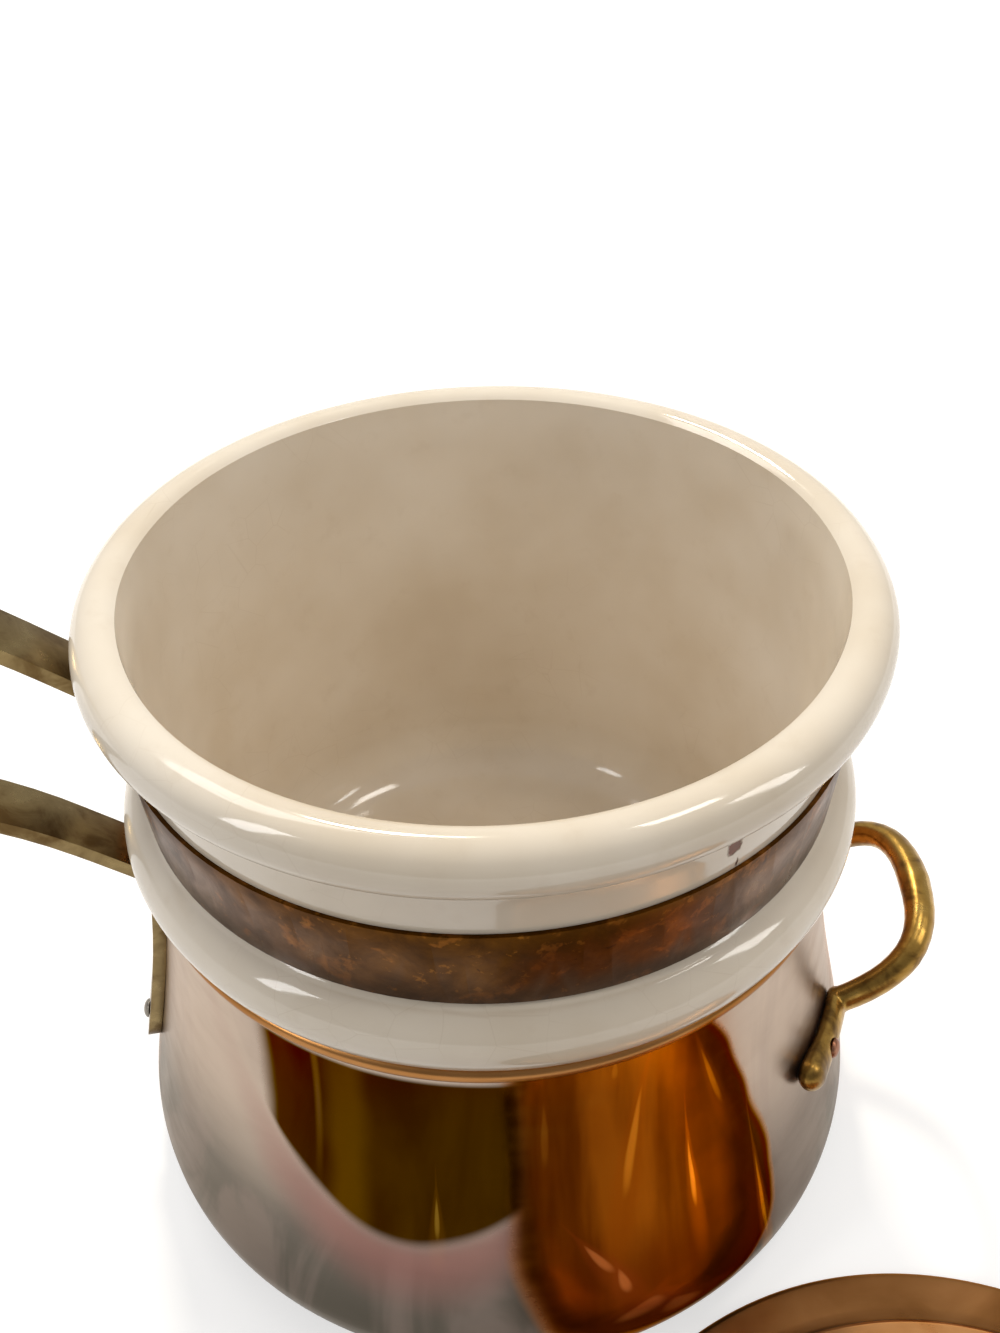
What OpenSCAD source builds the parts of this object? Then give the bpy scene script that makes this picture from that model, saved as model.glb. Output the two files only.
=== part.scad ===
// Double boiler: a copper pot, a glazed ceramic insert held in a copper strap, and a copper lid.
// Millimetres, +Z up. The origin is the centre of the pot's base, on the stove.
// The long handles point along -X. The insert is seated in the pot and the lid lies beside it.

/* [Pot] */
// Height of the rolled rim's centre above the stove
pot_h = 102; // [95:1:115]
// Largest radius of the belly
belly_r = 92.2; // [88:0.2:98]
// Outside radius of the neck under the rolled rim
neck_r = 77.9; // [76.5:0.1:79]
// Radius of the corner between base and belly
corner_r = 17; // [12:1:24]
// Thickness of the copper wall
pot_wall = 1.2; // [0.8:0.1:1.6]
// Thickness of the copper base
base_t = 1.8; // [1.4:0.1:2.6]
// Outside radius of the rolled rim's tube
curl_r = 1.75; // [1.6:0.05:2.1]
// Thickness of the tin lining
tin_t = 0.3; // [0.2:0.05:0.4]
// Radius of the spun disc in the middle of the floor
floor_disc_r = 32; // [24:1:38]
// Radius of the step on the floor
floor_step_r = 58; // [50:1:64]
// Depth of the groove and the step on the floor
floor_relief = 0.5; // [0.3:0.1:0.8]

/* [Long handles] */
// Width of the brass bar where it leaves the pot
bar_w = 12.4; // [10:0.2:16]
// Width of the brass bar at its far end
bar_end_w = 19; // [16:0.5:24]
// Thickness of the brass bar
bar_t = 3.3; // [2.6:0.1:4.2]
// Angle at which the bar rises beside the pot
bar_rise = 41; // [30:1:46]
// Angle at which the bar runs at its far end
bar_end_rise = 9; // [4:1:16]
// Length of the steep stretch of the bar
bar_steep_len = 14; // [8:1:40]
// Length of the far stretch of the bar
bar_far_len = 96; // [70:2:130]
// Radius of the bend between the tang and the bar
bar_elbow_r = 10; // [7:0.5:13]
// Radius of the gentle bend along the bar
bar_sweep_r = 110; // [90:5:160]
// Diameter of the hanging hole
hang_hole_d = 8; // [6:0.5:10]
// Height of the pot tang's lower tip above the stove
tang_tip_z = 33; // [28:1:42]

/* [Loop handle] */
// Turn of the loop handle from +X, seen from above
loop_turn = -11; // [-30:1:10]
// Distance between the middles of the bow's two feet
loop_span = 48.8; // [42:0.4:56]
// Reach of the bow's middle line beyond its feet, in the bow's own plane
loop_reach = 26.8; // [22:0.4:34]
// Upward tilt of the bow's plane
loop_tilt = 36; // [20:1:50]
// Height of the bow's feet above the stove
loop_foot_z = 52; // [46:0.5:60]
// Rise of each lug from the bow's foot to its ball end
loop_lug_rise = 2; // [0:0.5:5]
// Length of each lug beyond the bow's foot
loop_lug_len = 28; // [24:1:32]
// Half thickness of the bow at its feet, measured in its own plane
loop_half_t = 2.9; // [2.4:0.1:3.4]
// Half width of the bow at its crest, measured across its plane
loop_half_w = 4.2; // [3.4:0.1:5]

/* [Insert] */
// Gap between the pot's tinned neck and the insert's wall
mouth_room = 2.2; // [1.5:0.1:4]
// Overhang of the bead beyond the pot's rolled rim
bead_over = 2.4; // [1:0.1:4]
// Half height of the bead
bead_half = 8; // [6:0.5:10]
// How much wider the insert is just above the bead than below it
wall_step = 1.4; // [0.4:0.1:2.4]
// How much wider the insert is under its rim than above the bead
wall_flare = 2.6; // [1:0.1:4]
// Overhang of the insert's rolled rim beyond its wall
rim_over = 5.8; // [4.5:0.1:7]
// Half thickness of the insert's rolled rim
rim_half = 6; // [5:0.2:7]
// Height of the rolled rim's middle above the bead's middle
rim_up = 48; // [44:0.5:54]
// Depth of the foot's underside below the bead's middle
foot_down = 71.2; // [64:0.4:80]
// How much narrower the foot ring is than the wall below the bead
foot_in = 7.2; // [6:0.2:12]
// Height of the foot ring
foot_h = 4.5; // [3:0.5:6]
// Width of the foot ring
foot_w = 6; // [4:0.5:9]
// Thickness of the glazed wall
glaze_wall = 5; // [4:0.2:6]

/* [Strap] */
// Height of the strap
strap_h = 20; // [16:0.5:22]
// Height of the strap's lower edge above the bead's middle
strap_up = 9.6; // [9:0.2:14]
// Thickness of the strap
strap_t = 1; // [0.8:0.1:1.4]
// Gap between the strap's two ears
ear_gap = 4; // [3:0.5:6]
// Reach of each ear beyond the strap
ear_len = 10.5; // [9.5:0.5:14]
// Height of each ear
ear_h = 18; // [15:0.5:19]
// Diameter of the clamp screw
screw_d = 3; // [2.5:0.5:4]
// Distance of the clamp screw from the strap's outside
screw_out = 3.8; // [3.6:0.1:5]

/* [Lid] */
// Overhang of the lid beyond the insert's rim
lid_over = 3.5; // [3:0.5:8]
// Thickness of the lid's copper
lid_t = 1; // [0.8:0.1:1.4]
// Depth of the lid's turned-down lip
lip_h = 5; // [4:0.5:8]
// Width of the flat flange inside the lip
flange_w = 12; // [9:0.5:16]
// Height of the step inside the flange
lid_step = 3; // [2:0.5:5]
// Rise of the crown inside the step
crown_h = 7; // [4:0.5:12]
// Height of the brass knob
knob_h = 24; // [18:1:30]
// Largest radius of the brass knob
knob_r = 11; // [9:0.5:13]
// Diameter of the screw that holds the knob
knob_screw_d = 4; // [3:0.5:5]
// Gap between the lid's edge and the pot's belly, seen from above
lid_gap = 2.1; // [1:0.1:20]
// Direction of the lid's centre from +X, seen from above
lid_turn = -69.3; // [-110:0.5:-60]

/* [Rivets] */
// Diameter of the rivets' shanks
rivet_d = 3; // [2.5:0.5:4]
// Diameter of the rivets' heads
rivet_head_d = 4.8; // [4.4:0.2:6.4]
// Height of the rivets' heads
rivet_head_h = 1.3; // [0.8:0.1:1.8]

/* [Clearances] */
// Gap between the insert's bead and the pot's rim
seat_gap = 0.3; // [0.2:0.05:0.5]
// Gap between the strap and the ceramic wall
strap_room = 0.05; // [0.02:0.01:0.1]
// Gap between the cast loop and the pot's wall
loop_gap = 0.1; // [0.05:0.05:0.3]
// Gap between a tang and the wall or strap that it is riveted to
tang_room = 0.05; // [0.02:0.01:0.1]
// Room around a shank in its hole
hole_room = 0.05; // [0.02:0.01:0.1]

/* [Hidden] */
$fn = 96;
curve_steps = 16;
arc_steps = 10;
// How far a cutting shape reaches beyond what it cuts
over = 1;

// Copper, tin, brass, glaze and steel
copper = [0.72, 0.38, 0.2];
old_copper = [0.42, 0.24, 0.1];
tin = [0.5, 0.45, 0.38];
brass = [0.55, 0.44, 0.18];
glaze = [0.87, 0.84, 0.79];
steel = [0.35, 0.33, 0.31];

// Points along an arc, an ellipse arc and a cubic curve
function arc(c, r, a0, a1, n = arc_steps) =
    [for (i = [0:n]) c + r * [cos(a0 + (a1 - a0) * i / n), sin(a0 + (a1 - a0) * i / n)]];
function oval_arc(c, rx, rz, a0, a1, n = arc_steps) =
    [for (i = [0:n]) c + [rx * cos(a0 + (a1 - a0) * i / n), rz * sin(a0 + (a1 - a0) * i / n)]];
function cubic(p, t) =
    pow(1 - t, 3) * p[0] + 3 * t * pow(1 - t, 2) * p[1] + 3 * t * t * (1 - t) * p[2] + pow(t, 3) * p[3];
function cubic_slope(p, t) =
    3 * pow(1 - t, 2) * (p[1] - p[0]) + 6 * t * (1 - t) * (p[2] - p[1]) + 3 * t * t * (p[3] - p[2]);
function unit(v) = v / norm(v);
function left_of(v) = [-v[1], v[0]];
function reversed(list) = [for (i = [len(list) - 1:-1:0]) list[i]];

// The pot's outside wall from the belly up to the neck, as a cubic in radius and height
belly_pull = 8;
neck_pull = 27.5;
neck_straight = 4;
wall_top_z = pot_h - neck_straight;
function wall_curve(inset) = [
    [belly_r - inset, corner_r], [belly_r - inset, corner_r + belly_pull],
    [neck_r - inset, wall_top_z - neck_pull], [neck_r - inset, wall_top_z]
];
function wall_points(inset, n = curve_steps) = [for (i = [0:n]) cubic(wall_curve(inset), i / n)];
// The share of the wall curve at which it reaches a height
function wall_share(z, low = 0, high = 1, step = 24) =
    step == 0 ? (low + high) / 2
    : cubic(wall_curve(0), (low + high) / 2)[1] > z
        ? wall_share(z, low, (low + high) / 2, step - 1)
        : wall_share(z, (low + high) / 2, high, step - 1);
function wall_at(z) = cubic(wall_curve(0), wall_share(z));
function wall_heading(z) = unit(cubic_slope(wall_curve(0), wall_share(z)));

neck_in_r = neck_r - pot_wall;
curl_c = [neck_in_r + curl_r, pot_h];
curl_least = 0.4;
curl_in_r = max(curl_r - pot_wall, curl_least * curl_r);
// The rolled sheet starts on the wall, goes over the top and is tucked in below
curl_start = 179;
curl_end = -75;
curl_back = 180 + acos((curl_c[0] - neck_r) / curl_in_r);

// The floor inside the copper, from the middle outwards
groove_w = 1.6;
ramp_w = 1;
function floor_line(lift) = [
    [0, base_t + lift],
    [floor_disc_r - groove_w / 2, base_t + lift],
    [floor_disc_r - groove_w / 4, base_t + lift - floor_relief / 2],
    [floor_disc_r + groove_w / 4, base_t + lift - floor_relief / 2],
    [floor_disc_r + groove_w / 2, base_t + lift],
    [floor_step_r, base_t + lift],
    [floor_step_r + ramp_w, base_t + lift + floor_relief]
];
// The inside of the copper wall, from the floor up to the rim
function inner_line(inset, top_z) = concat(
    floor_line(inset - pot_wall),
    oval_arc([belly_r - corner_r, corner_r], corner_r - inset,
        corner_r - base_t - floor_relief - (inset - pot_wall), -90, 0),
    [for (p = wall_points(inset)) if (p[1] > corner_r) p],
    [[neck_r - inset, top_z]]
);

module pot_shell() {
    outer = concat(
        arc([belly_r - corner_r, corner_r], corner_r, -90, 0),
        [for (p = wall_points(0)) if (p[1] > corner_r) p]
    );
    color(copper)
    difference() {
        rotate_extrude()
            polygon(concat([[0, 0]], outer, rolled_rim(), reversed(inner_line(pot_wall, pot_h))));
        pot_shank_holes();
    }
}

// The holes through copper and tin for the rivets of both handles
module pot_shank_holes() {
    rotate(180)
        for (z = pot_rivet_z)
            on_wall(z)
                shank_hole();
    rotate(loop_turn)
        loop_rivet_places()
            shank_hole();
}

// The rim is the wall's own sheet, rolled outwards and tucked back under
function rolled_rim() = concat(
    arc(curl_c, curl_in_r, curl_back, curl_end, 2 * arc_steps),
    arc(curl_c, curl_r, curl_end, curl_start, 2 * arc_steps)
);

module pot_tin_lining() {
    color(tin)
    difference() {
        rotate_extrude()
            polygon(concat(
                inner_line(pot_wall, pot_h),
                reversed(inner_line(pot_wall + tin_t, pot_h))
            ));
        pot_shank_holes();
    }
}

// The pot's outside as a filled solid, grown by a room, to seat what lies against it
module pot_outside(room) {
    rotate_extrude()
        polygon(concat(
            [[0, 0], [belly_r, 0]],
            [for (p = wall_points(-room)) if (p[1] > corner_r) p],
            [[neck_r + room, pot_h], [0, pot_h]]
        ));
}

// A path that walks on from a point: each leg is a length and the angle that it turns left
function walk(p, heading, legs, i = 0) =
    i == len(legs) ? []
    : let (
        steps = legs[i][1] == 0 ? 1 : arc_steps,
        turn = legs[i][1] / steps,
        stride = legs[i][0] / steps,
        run = [for (k = [1:steps]) heading + turn * (k - 1 / 2)],
        ends = [for (k = [0:steps - 1]) p + stride * sum_of([for (j = [0:k]) [cos(run[j]), sin(run[j])]])]
    ) concat(ends, walk(ends[steps - 1], heading + legs[i][1], legs, i + 1));
function sum_of(list, i = 0) = i == len(list) - 1 ? list[i] : list[i] + sum_of(list, i + 1);

// A flat bar's side view: points either side of its middle line
function side_points(path, half) = [
    for (i = [0:len(path) - 1])
        let (a = path[max(i - 1, 0)], b = path[min(i + 1, len(path) - 1)])
        path[i] + half * left_of(unit(b - a))
];
function ribbon(path, half) = concat(side_points(path, half), reversed(side_points(path, -half)));
function arc_len(radius, angle) = radius * abs(angle) * PI / 180;

// The legs of a long handle after its tang: the elbow, the steep stretch, the sweep and the far stretch
function bar_legs(lean) = [
    [arc_len(bar_elbow_r, 90 + lean - bar_rise), -(90 + lean - bar_rise)],
    [bar_steep_len, 0],
    [arc_len(bar_sweep_r, bar_rise - bar_end_rise), -(bar_rise - bar_end_rise)],
    [bar_far_len, 0]
];

// A long handle in its own plane, reaching along +X: side view, plan and the tang's rounded tip
module bar_handle(tang, lean, tip_z, seat_r) {
    path = bar_path(tang, lean);
    top_z = path[len(path) - 1][1];
    elbow_z = tang[len(tang) - 1][1];
    eye = bar_eye(path);
    difference() {
        intersection() {
            rotate([90, 0, 0])
                linear_extrude(height = 2 * bar_end_w, center = true)
                    polygon(ribbon(path, bar_t / 2));
            union() {
                translate([0, 0, elbow_z])
                    linear_extrude(height = top_z)
                        bar_plan(seat_r, eye[0]);
                rotate([90, 0, 90])
                    linear_extrude(height = tang_reach(tang))
                        tang_front(tip_z, elbow_z);
            }
        }
        translate([eye[0], 0, eye[1]])
            rotate([0, -bar_end_rise, 0])
                cylinder(d = hang_hole_d, h = 4 * bar_t, center = true);
    }
}
// The hanging hole's centre, half the end's width back from the far end
function bar_eye(path) =
    path[len(path) - 1] - bar_end_w / 2 * [1, tan(bar_end_rise)];
function bar_path(tang, lean) = concat(tang, walk(tang[len(tang) - 1], 90 + lean, bar_legs(lean)));
function tang_reach(tang) = max([for (p = tang) p[0]]) + 2 * bar_t;

// The bar from above: it widens towards a round end
module bar_plan(seat_r, eye_x) {
    polygon([
        [0, -bar_w / 2], [seat_r + bar_steep_len, -bar_w / 2], [eye_x, -bar_end_w / 2],
        [eye_x, bar_end_w / 2], [seat_r + bar_steep_len, bar_w / 2], [0, bar_w / 2]
    ]);
    translate([eye_x, 0])
        circle(d = bar_end_w);
}

// The tang from the front: a strip with a round lower tip
module tang_front(tip_z, elbow_z) {
    translate([-bar_w / 2, tip_z + bar_w / 2])
        square([bar_w, elbow_z - tip_z - bar_w / 2]);
    translate([0, tip_z + bar_w / 2])
        circle(d = bar_w);
}

// The pot's tang follows the flared wall, a little sunk so that its back can be cut to the wall's curve
tang_sink = 0.35;
elbow_drop = 3;
tang_top_z = pot_h - curl_r - bar_elbow_r - elbow_drop;
tang_steps = 8;
pot_tang = [
    for (i = [0:tang_steps])
        let (z = tang_tip_z + (tang_top_z - tang_tip_z) * i / tang_steps, h = wall_heading(z))
        wall_at(z) - (bar_t / 2 - tang_sink) * left_of(h)
];
pot_lean = atan2(wall_heading(tang_top_z)[1], wall_heading(tang_top_z)[0]) - 90;
pot_rivet_z = [tang_tip_z + bar_w / 2, tang_top_z - bar_w / 2];

module pot_long_handle() {
    color(brass)
    difference() {
        rotate(180)
            difference() {
                bar_handle(pot_tang, pot_lean, tang_tip_z, neck_r);
                for (z = pot_rivet_z)
                    on_wall(z)
                        shank_hole();
            }
        pot_outside(tang_room);
    }
}

// Turns a shape whose axis is +Z so that it stands out of the pot's wall at a height
module on_wall(z) {
    heading = wall_heading(z);
    p = wall_at(z);
    translate([p[0], 0, p[1]])
        rotate([0, 180 - atan2(heading[1], heading[0]), 0])
            children();
}

module shank_hole() {
    cylinder(d = rivet_d + 2 * hole_room, h = 4 * loop_half_w, center = true);
}

// A rivet along +Z through a wall whose outside is at height 0
inner_head_h = 1;
head_seat = 0.15;
module rivet(out, inside) {
    rotate_extrude()
        polygon(concat(
            oval_arc([0, out], rivet_head_d / 2, rivet_head_h, 90, 0),
            [[rivet_d / 2, out], [rivet_d / 2, -inside]],
            oval_arc([0, -inside], rivet_head_d / 2, inner_head_h, 0, -90)
        ));
}
// A rivet that is hammered flush on its inner side
module flush_rivet(out, inside) {
    rotate_extrude()
        polygon(concat(
            oval_arc([0, out], rivet_head_d / 2, rivet_head_h, 90, 0),
            [[rivet_d / 2, out], [rivet_d / 2, -inside], [0, -inside]]
        ));
}

lined_wall = pot_wall + tin_t;

module pot_long_handle_rivets() {
    color(steel)
    rotate(180)
        for (z = pot_rivet_z)
            on_wall(z)
                rivet(bar_t - tang_sink + head_seat, lined_wall + head_seat);
}

// The loop handle is one casting: a bow that stands on two lugs, and the lugs lie along the wall.
// It is built as if the bow's middle were at +X, and then turned.
function off_wall(z, d) = wall_at(z) - d * left_of(wall_heading(z));
lug_share_t = 0.9;
lug_share_w = 0.9;
ball_share_t = 1.1;
ball_share_w = 1.05;
lug_half_t = lug_share_t * loop_half_t;
lug_half_w = lug_share_w * loop_half_w;
ball_half_t = ball_share_t * loop_half_t;
ball_half_w = ball_share_w * loop_half_w;
// The lugs are a little sunk, so that their backs can be cut to the wall's curve
lug_sink = 0.6;
lug_seat = loop_gap - lug_sink;
loop_foot = off_wall(loop_foot_z, lug_seat + lug_half_t);
loop_foot_angle = asin(loop_span / 2 / loop_foot[0]);
loop_foot_x = loop_foot[0] * cos(loop_foot_angle);

// Half of the bow in its own plane, along the wall and outwards
bow_swell = 1;
bow_shoulder = 0.66;
bow_round = 0.82;
bow_side = [
    [-loop_span / 2, 0], [-loop_span / 2 - bow_swell, bow_shoulder * loop_reach],
    [-loop_span / 2 * bow_round, loop_reach], [0, loop_reach]
];
bow_steps = 12;
bow_line = concat(
    [for (i = [0:bow_steps]) cubic(bow_side, i / bow_steps)],
    [for (i = [bow_steps - 1:-1:0]) let (p = cubic(bow_side, i / bow_steps)) [-p[0], p[1]]]
);
bow_normal = [-sin(loop_tilt), 0, cos(loop_tilt)];
function in_bow(v) = [v[1] * cos(loop_tilt), v[0], v[1] * sin(loop_tilt)];
// The bow swells from its feet to its crest
crest_more_t = 0.34;
foot_less_w = 0.14;
function bow_ring(i) =
    let (last = 2 * bow_steps, crest = pow(1 - abs(i / bow_steps - 1), 2),
        ahead = unit(bow_line[min(i + 1, last)] - bow_line[max(i - 1, 0)]))
    ring([loop_foot_x, 0, loop_foot[1]] + in_bow(bow_line[i]), in_bow(left_of(ahead)), bow_normal,
        loop_half_t * (1 + crest_more_t * crest), loop_half_w * (1 - foot_less_w * (1 - crest)));

loop_sides = 16;
// Points round an oval from its middle, its two directions and its two half sizes
function ring(c, across, up, half_t, half_w) =
    [for (k = [0:loop_sides - 1])
        let (a = 360 * k / loop_sides)
        c + half_t * cos(a) * across + half_w * sin(a) * up];
module tube(rings, sides) {
    last = len(rings) - 1;
    polyhedron(
        points = [for (r = rings) for (p = r) p],
        faces = concat(
            [[for (k = [sides - 1:-1:0]) k]],
            [for (i = [0:last - 1]) for (k = [0:sides - 1])
                let (a = i * sides + k, b = i * sides + (k + 1) % sides)
                [a, b, b + sides]],
            [for (i = [0:last - 1]) for (k = [0:sides - 1])
                let (a = i * sides + k, b = i * sides + (k + 1) % sides)
                [a, b + sides, a + sides]],
            [[for (k = [0:sides - 1]) last * sides + k]]
        ),
        convexity = 6
    );
}

// A lug, measured along the wall from the bow's foot: it swells into a ball at its end
lug_steps = 9;
dome_steps = 5;
dome_end = 86;
ball_at = loop_lug_len - ball_half_w;
function ball_growth(along) = pow(max(along, 0) / ball_at, 4);
function lug_t(along) = lug_half_t + (ball_half_t - lug_half_t) * ball_growth(along);
function lug_w(along) = lug_half_w + (ball_half_w - lug_half_w) * ball_growth(along);
function lug_z(along) = loop_foot_z + loop_lug_rise * along / loop_lug_len;
function lug_angle(along) = loop_foot_angle + along / loop_foot[0] * 180 / PI;
// The ring of a lug at a distance along the wall, shrunk by a share where the end is domed
function lug_ring(along, shrink, ball) =
    let (z = lug_z(along), half_t = lug_t(ball), m = wall_heading(z), a = lug_angle(along),
        c = off_wall(z, lug_seat + half_t))
    ring([c[0] * cos(a), c[0] * sin(a), c[1]], [m[1] * cos(a), m[1] * sin(a), -m[0]],
        [m[0] * cos(a), m[0] * sin(a), m[1]], half_t * shrink, lug_w(ball) * shrink);
lug_rings = concat(
    [for (i = [dome_steps:-1:1])
        let (a = dome_end * i / dome_steps)
        lug_ring(-lug_half_w * sin(a), cos(a), 0)],
    [for (i = [0:lug_steps])
        let (along = ball_at * i / lug_steps)
        lug_ring(along, 1, along)],
    [for (i = [1:dome_steps])
        let (a = dome_end * i / dome_steps)
        lug_ring(ball_at + ball_half_w * sin(a), cos(a), ball_at)]
);

// The rivet through each lug, with its head in a shallow spot face
loop_rivet_share = 0.52;
loop_rivet_along = loop_rivet_share * loop_lug_len;
spot_depth = 0.5;
loop_rivet_out = lug_seat + 2 * lug_t(loop_rivet_along) - spot_depth;
module loop_rivet_places() {
    for (side = [-1, 1])
        rotate(side * lug_angle(loop_rivet_along))
            on_wall(lug_z(loop_rivet_along))
                children();
}

module pot_loop_handle() {
    color(brass)
    rotate(loop_turn)
        difference() {
            union() {
                tube([for (i = [0:2 * bow_steps]) bow_ring(i)], loop_sides);
                tube(lug_rings, loop_sides);
                mirror([0, 1, 0])
                    tube(lug_rings, loop_sides);
            }
            pot_outside(loop_gap);
            loop_rivet_places() {
                shank_hole();
                translate([0, 0, loop_rivet_out])
                    cylinder(d = rivet_head_d + 4 * hole_room, h = loop_half_w);
            }
        }
}

module pot_loop_handle_rivet() {
    color(copper)
    rotate(loop_turn)
        loop_rivet_places()
            rivet(loop_rivet_out + head_seat, lined_wall + head_seat);
}

// The insert, measured from the middle of its bead
low_wall_r = neck_r - lined_wall - mouth_room;
mid_wall_r = low_wall_r + wall_step;
top_wall_r = mid_wall_r + wall_flare;
bead_r = curl_c[0] + curl_r + bead_over;
rim_r = top_wall_r + rim_over;
foot_r = low_wall_r - foot_in;
bead_low_rx = bead_r - low_wall_r;
bead_mid_rx = bead_r - mid_wall_r;
rim_c = [rim_r - rim_half, rim_up];
rim_under_z = rim_up - rim_half;
foot_z = -foot_down;
bowl_corner_rx = 9.4;
bowl_corner_rz = 14;
bowl_taper = 0.6;
bowl_corner_c = [low_wall_r - bowl_taper - bowl_corner_rx, foot_z + foot_h + bowl_corner_rz];
// The seat is found where the bead's underside would first meet the rolled rim
seat_steps = 60;
seat_z = max([
    for (i = [0:seat_steps])
        let (a = -90 * i / seat_steps, p = [low_wall_r + bead_low_rx * cos(a), bead_half * sin(a)],
            reach = curl_r + seat_gap, off = p[0] - curl_c[0])
        if (abs(off) < reach) pot_h + sqrt(reach * reach - off * off) - p[1]
]);
in_rim_share = 0.4;
in_corner_share = 0.8;
insert_in_top = [top_wall_r - glaze_wall, rim_under_z - in_rim_share * glaze_wall];
insert_in_low = [low_wall_r - glaze_wall, bowl_corner_c[1] + in_corner_share * glaze_wall];
insert_floor_z = foot_z + foot_h + glaze_wall;
insert_floor_corner = 16;
foot_edge = 1;
rim_under_angle = -84;
rim_lip_angle = 128;

module insert_bowl() {
    foot_angle = -acos((foot_r - bowl_corner_c[0]) / bowl_corner_rx);
    outside = concat(
        [[0, foot_z + foot_h], [foot_r - foot_w, foot_z + foot_h]],
        arc([foot_r - foot_w + foot_edge, foot_z + foot_edge], foot_edge, 180, 270, 4),
        arc([foot_r - foot_edge, foot_z + foot_edge], foot_edge, 270, 360, 4),
        oval_arc(bowl_corner_c, bowl_corner_rx, bowl_corner_rz, foot_angle, 0),
        oval_arc([low_wall_r, 0], bead_low_rx, bead_half, -90, 0),
        oval_arc([mid_wall_r, 0], bead_mid_rx, bead_half, 0, 90),
        [[top_wall_r, rim_under_z]],
        arc(rim_c, rim_half, rim_under_angle, rim_lip_angle, 2 * arc_steps)
    );
    inside = concat(
        [insert_in_top, insert_in_low],
        oval_arc(
            [insert_in_low[0] - insert_floor_corner, insert_floor_z + insert_floor_corner],
            insert_floor_corner, insert_floor_corner, 0, -90
        ),
        [[0, insert_floor_z]]
    );
    color(glaze)
    translate([0, 0, seat_z])
        rotate_extrude()
            polygon(concat(outside, inside));
}

// Radius of the ceramic wall at a height above the bead's middle, between bead and rim
function upper_wall_r(h) =
    mid_wall_r + (top_wall_r - mid_wall_r) * (h - bead_half) / (rim_under_z - bead_half);
strap_low = strap_up;
strap_high = strap_up + strap_h;
strap_mid = strap_up + strap_h / 2;
strap_lean = atan2(upper_wall_r(strap_high) - upper_wall_r(strap_low), strap_h);
strap_out_r = upper_wall_r(strap_mid) + strap_t;
ear_c = strap_out_r + ear_len - ear_h / 2;
screw_x = strap_out_r + screw_out;

module strap_band() {
    rotate_extrude()
        polygon([
            [upper_wall_r(strap_low) - strap_t, strap_low], [upper_wall_r(strap_low) + strap_t, strap_low],
            [upper_wall_r(strap_high) + strap_t, strap_high], [upper_wall_r(strap_high) - strap_t, strap_high]
        ]);
}
// The ceramic wall between bead and rim as a filled solid, grown outwards by a thickness
module wall_core(grow) {
    rotate_extrude()
        polygon([
            [0, 0], [upper_wall_r(0) + grow, 0],
            [upper_wall_r(rim_up) + grow, rim_up], [0, rim_up]
        ]);
}
// One ear: a flat tab with a round end and a hole for the clamp screw
module ear() {
    translate([0, strap_t + ear_gap / 2, strap_mid])
        rotate([90, 0, 0])
            linear_extrude(height = strap_t)
                difference() {
                    union() {
                        translate([strap_out_r - strap_t / 2, -ear_h / 2])
                            square([max(ear_c - strap_out_r, 0) + strap_t, ear_h]);
                        intersection() {
                            translate([ear_c, 0])
                                circle(d = ear_h);
                            translate([strap_out_r - strap_t / 2, -ear_h / 2])
                                square([ear_h, ear_h]);
                        }
                    }
                    translate([screw_x, 0])
                        circle(d = screw_d + 2 * hole_room);
                }
}

module insert_strap() {
    color(old_copper)
    translate([0, 0, seat_z])
        difference() {
            union() {
                strap_band();
                ear();
                mirror([0, 1, 0])
                    ear();
            }
            wall_core(strap_room);
            translate([0, -ear_gap / 2, strap_low - over])
                cube([2 * strap_out_r, ear_gap, strap_h + 2 * over]);
            rotate(180)
                for (h = strap_rivet_h)
                    on_strap(h)
                        shank_hole();
        }
}
// Turns a shape whose axis is +Z so that it stands out of the strap at a height
module on_strap(h) {
    translate([upper_wall_r(h) + strap_t, 0, h])
        rotate([0, 90 + strap_lean, 0])
            children();
}

clamp_half = ear_gap / 2 + strap_t;
head_wider = 1.8;
head_rise = 0.7;
nut_rise = 0.8;
slot_share = 0.25;
slot_turn = 35;
screw_head_d = head_wider * screw_d;
screw_head_h = head_rise * screw_d;
nut_w = 2 * screw_d;
nut_h = nut_rise * screw_d;
module strap_screw() {
    slot_w = slot_share * screw_d;
    color(steel)
    translate([screw_x, -clamp_half, seat_z + strap_mid])
        rotate([90, 0, 0])
            difference() {
                union() {
                    rotate_extrude()
                        polygon(concat(
                            [[0, 0]], oval_arc([0, 0], screw_head_d / 2, screw_head_h, 0, 90)
                        ));
                    translate([0, 0, -2 * clamp_half - nut_h - screw_d / 2])
                        cylinder(d = screw_d, h = 2 * clamp_half + nut_h + screw_d / 2 + screw_head_h / 4);
                }
                rotate(slot_turn)
                    translate([-screw_d, -slot_w / 2, screw_head_h / 2])
                        cube([2 * screw_d, slot_w, screw_head_h]);
            }
}
module strap_nut() {
    color(steel)
    translate([screw_x, clamp_half, seat_z + strap_mid])
        rotate([-90, 0, 0])
            difference() {
                translate([-nut_w / 2, -nut_w / 2, 0])
                    cube([nut_w, nut_w, nut_h]);
                translate([0, 0, -nut_h])
                    cylinder(d = screw_d + 2 * hole_room, h = 3 * nut_h);
            }
}

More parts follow.
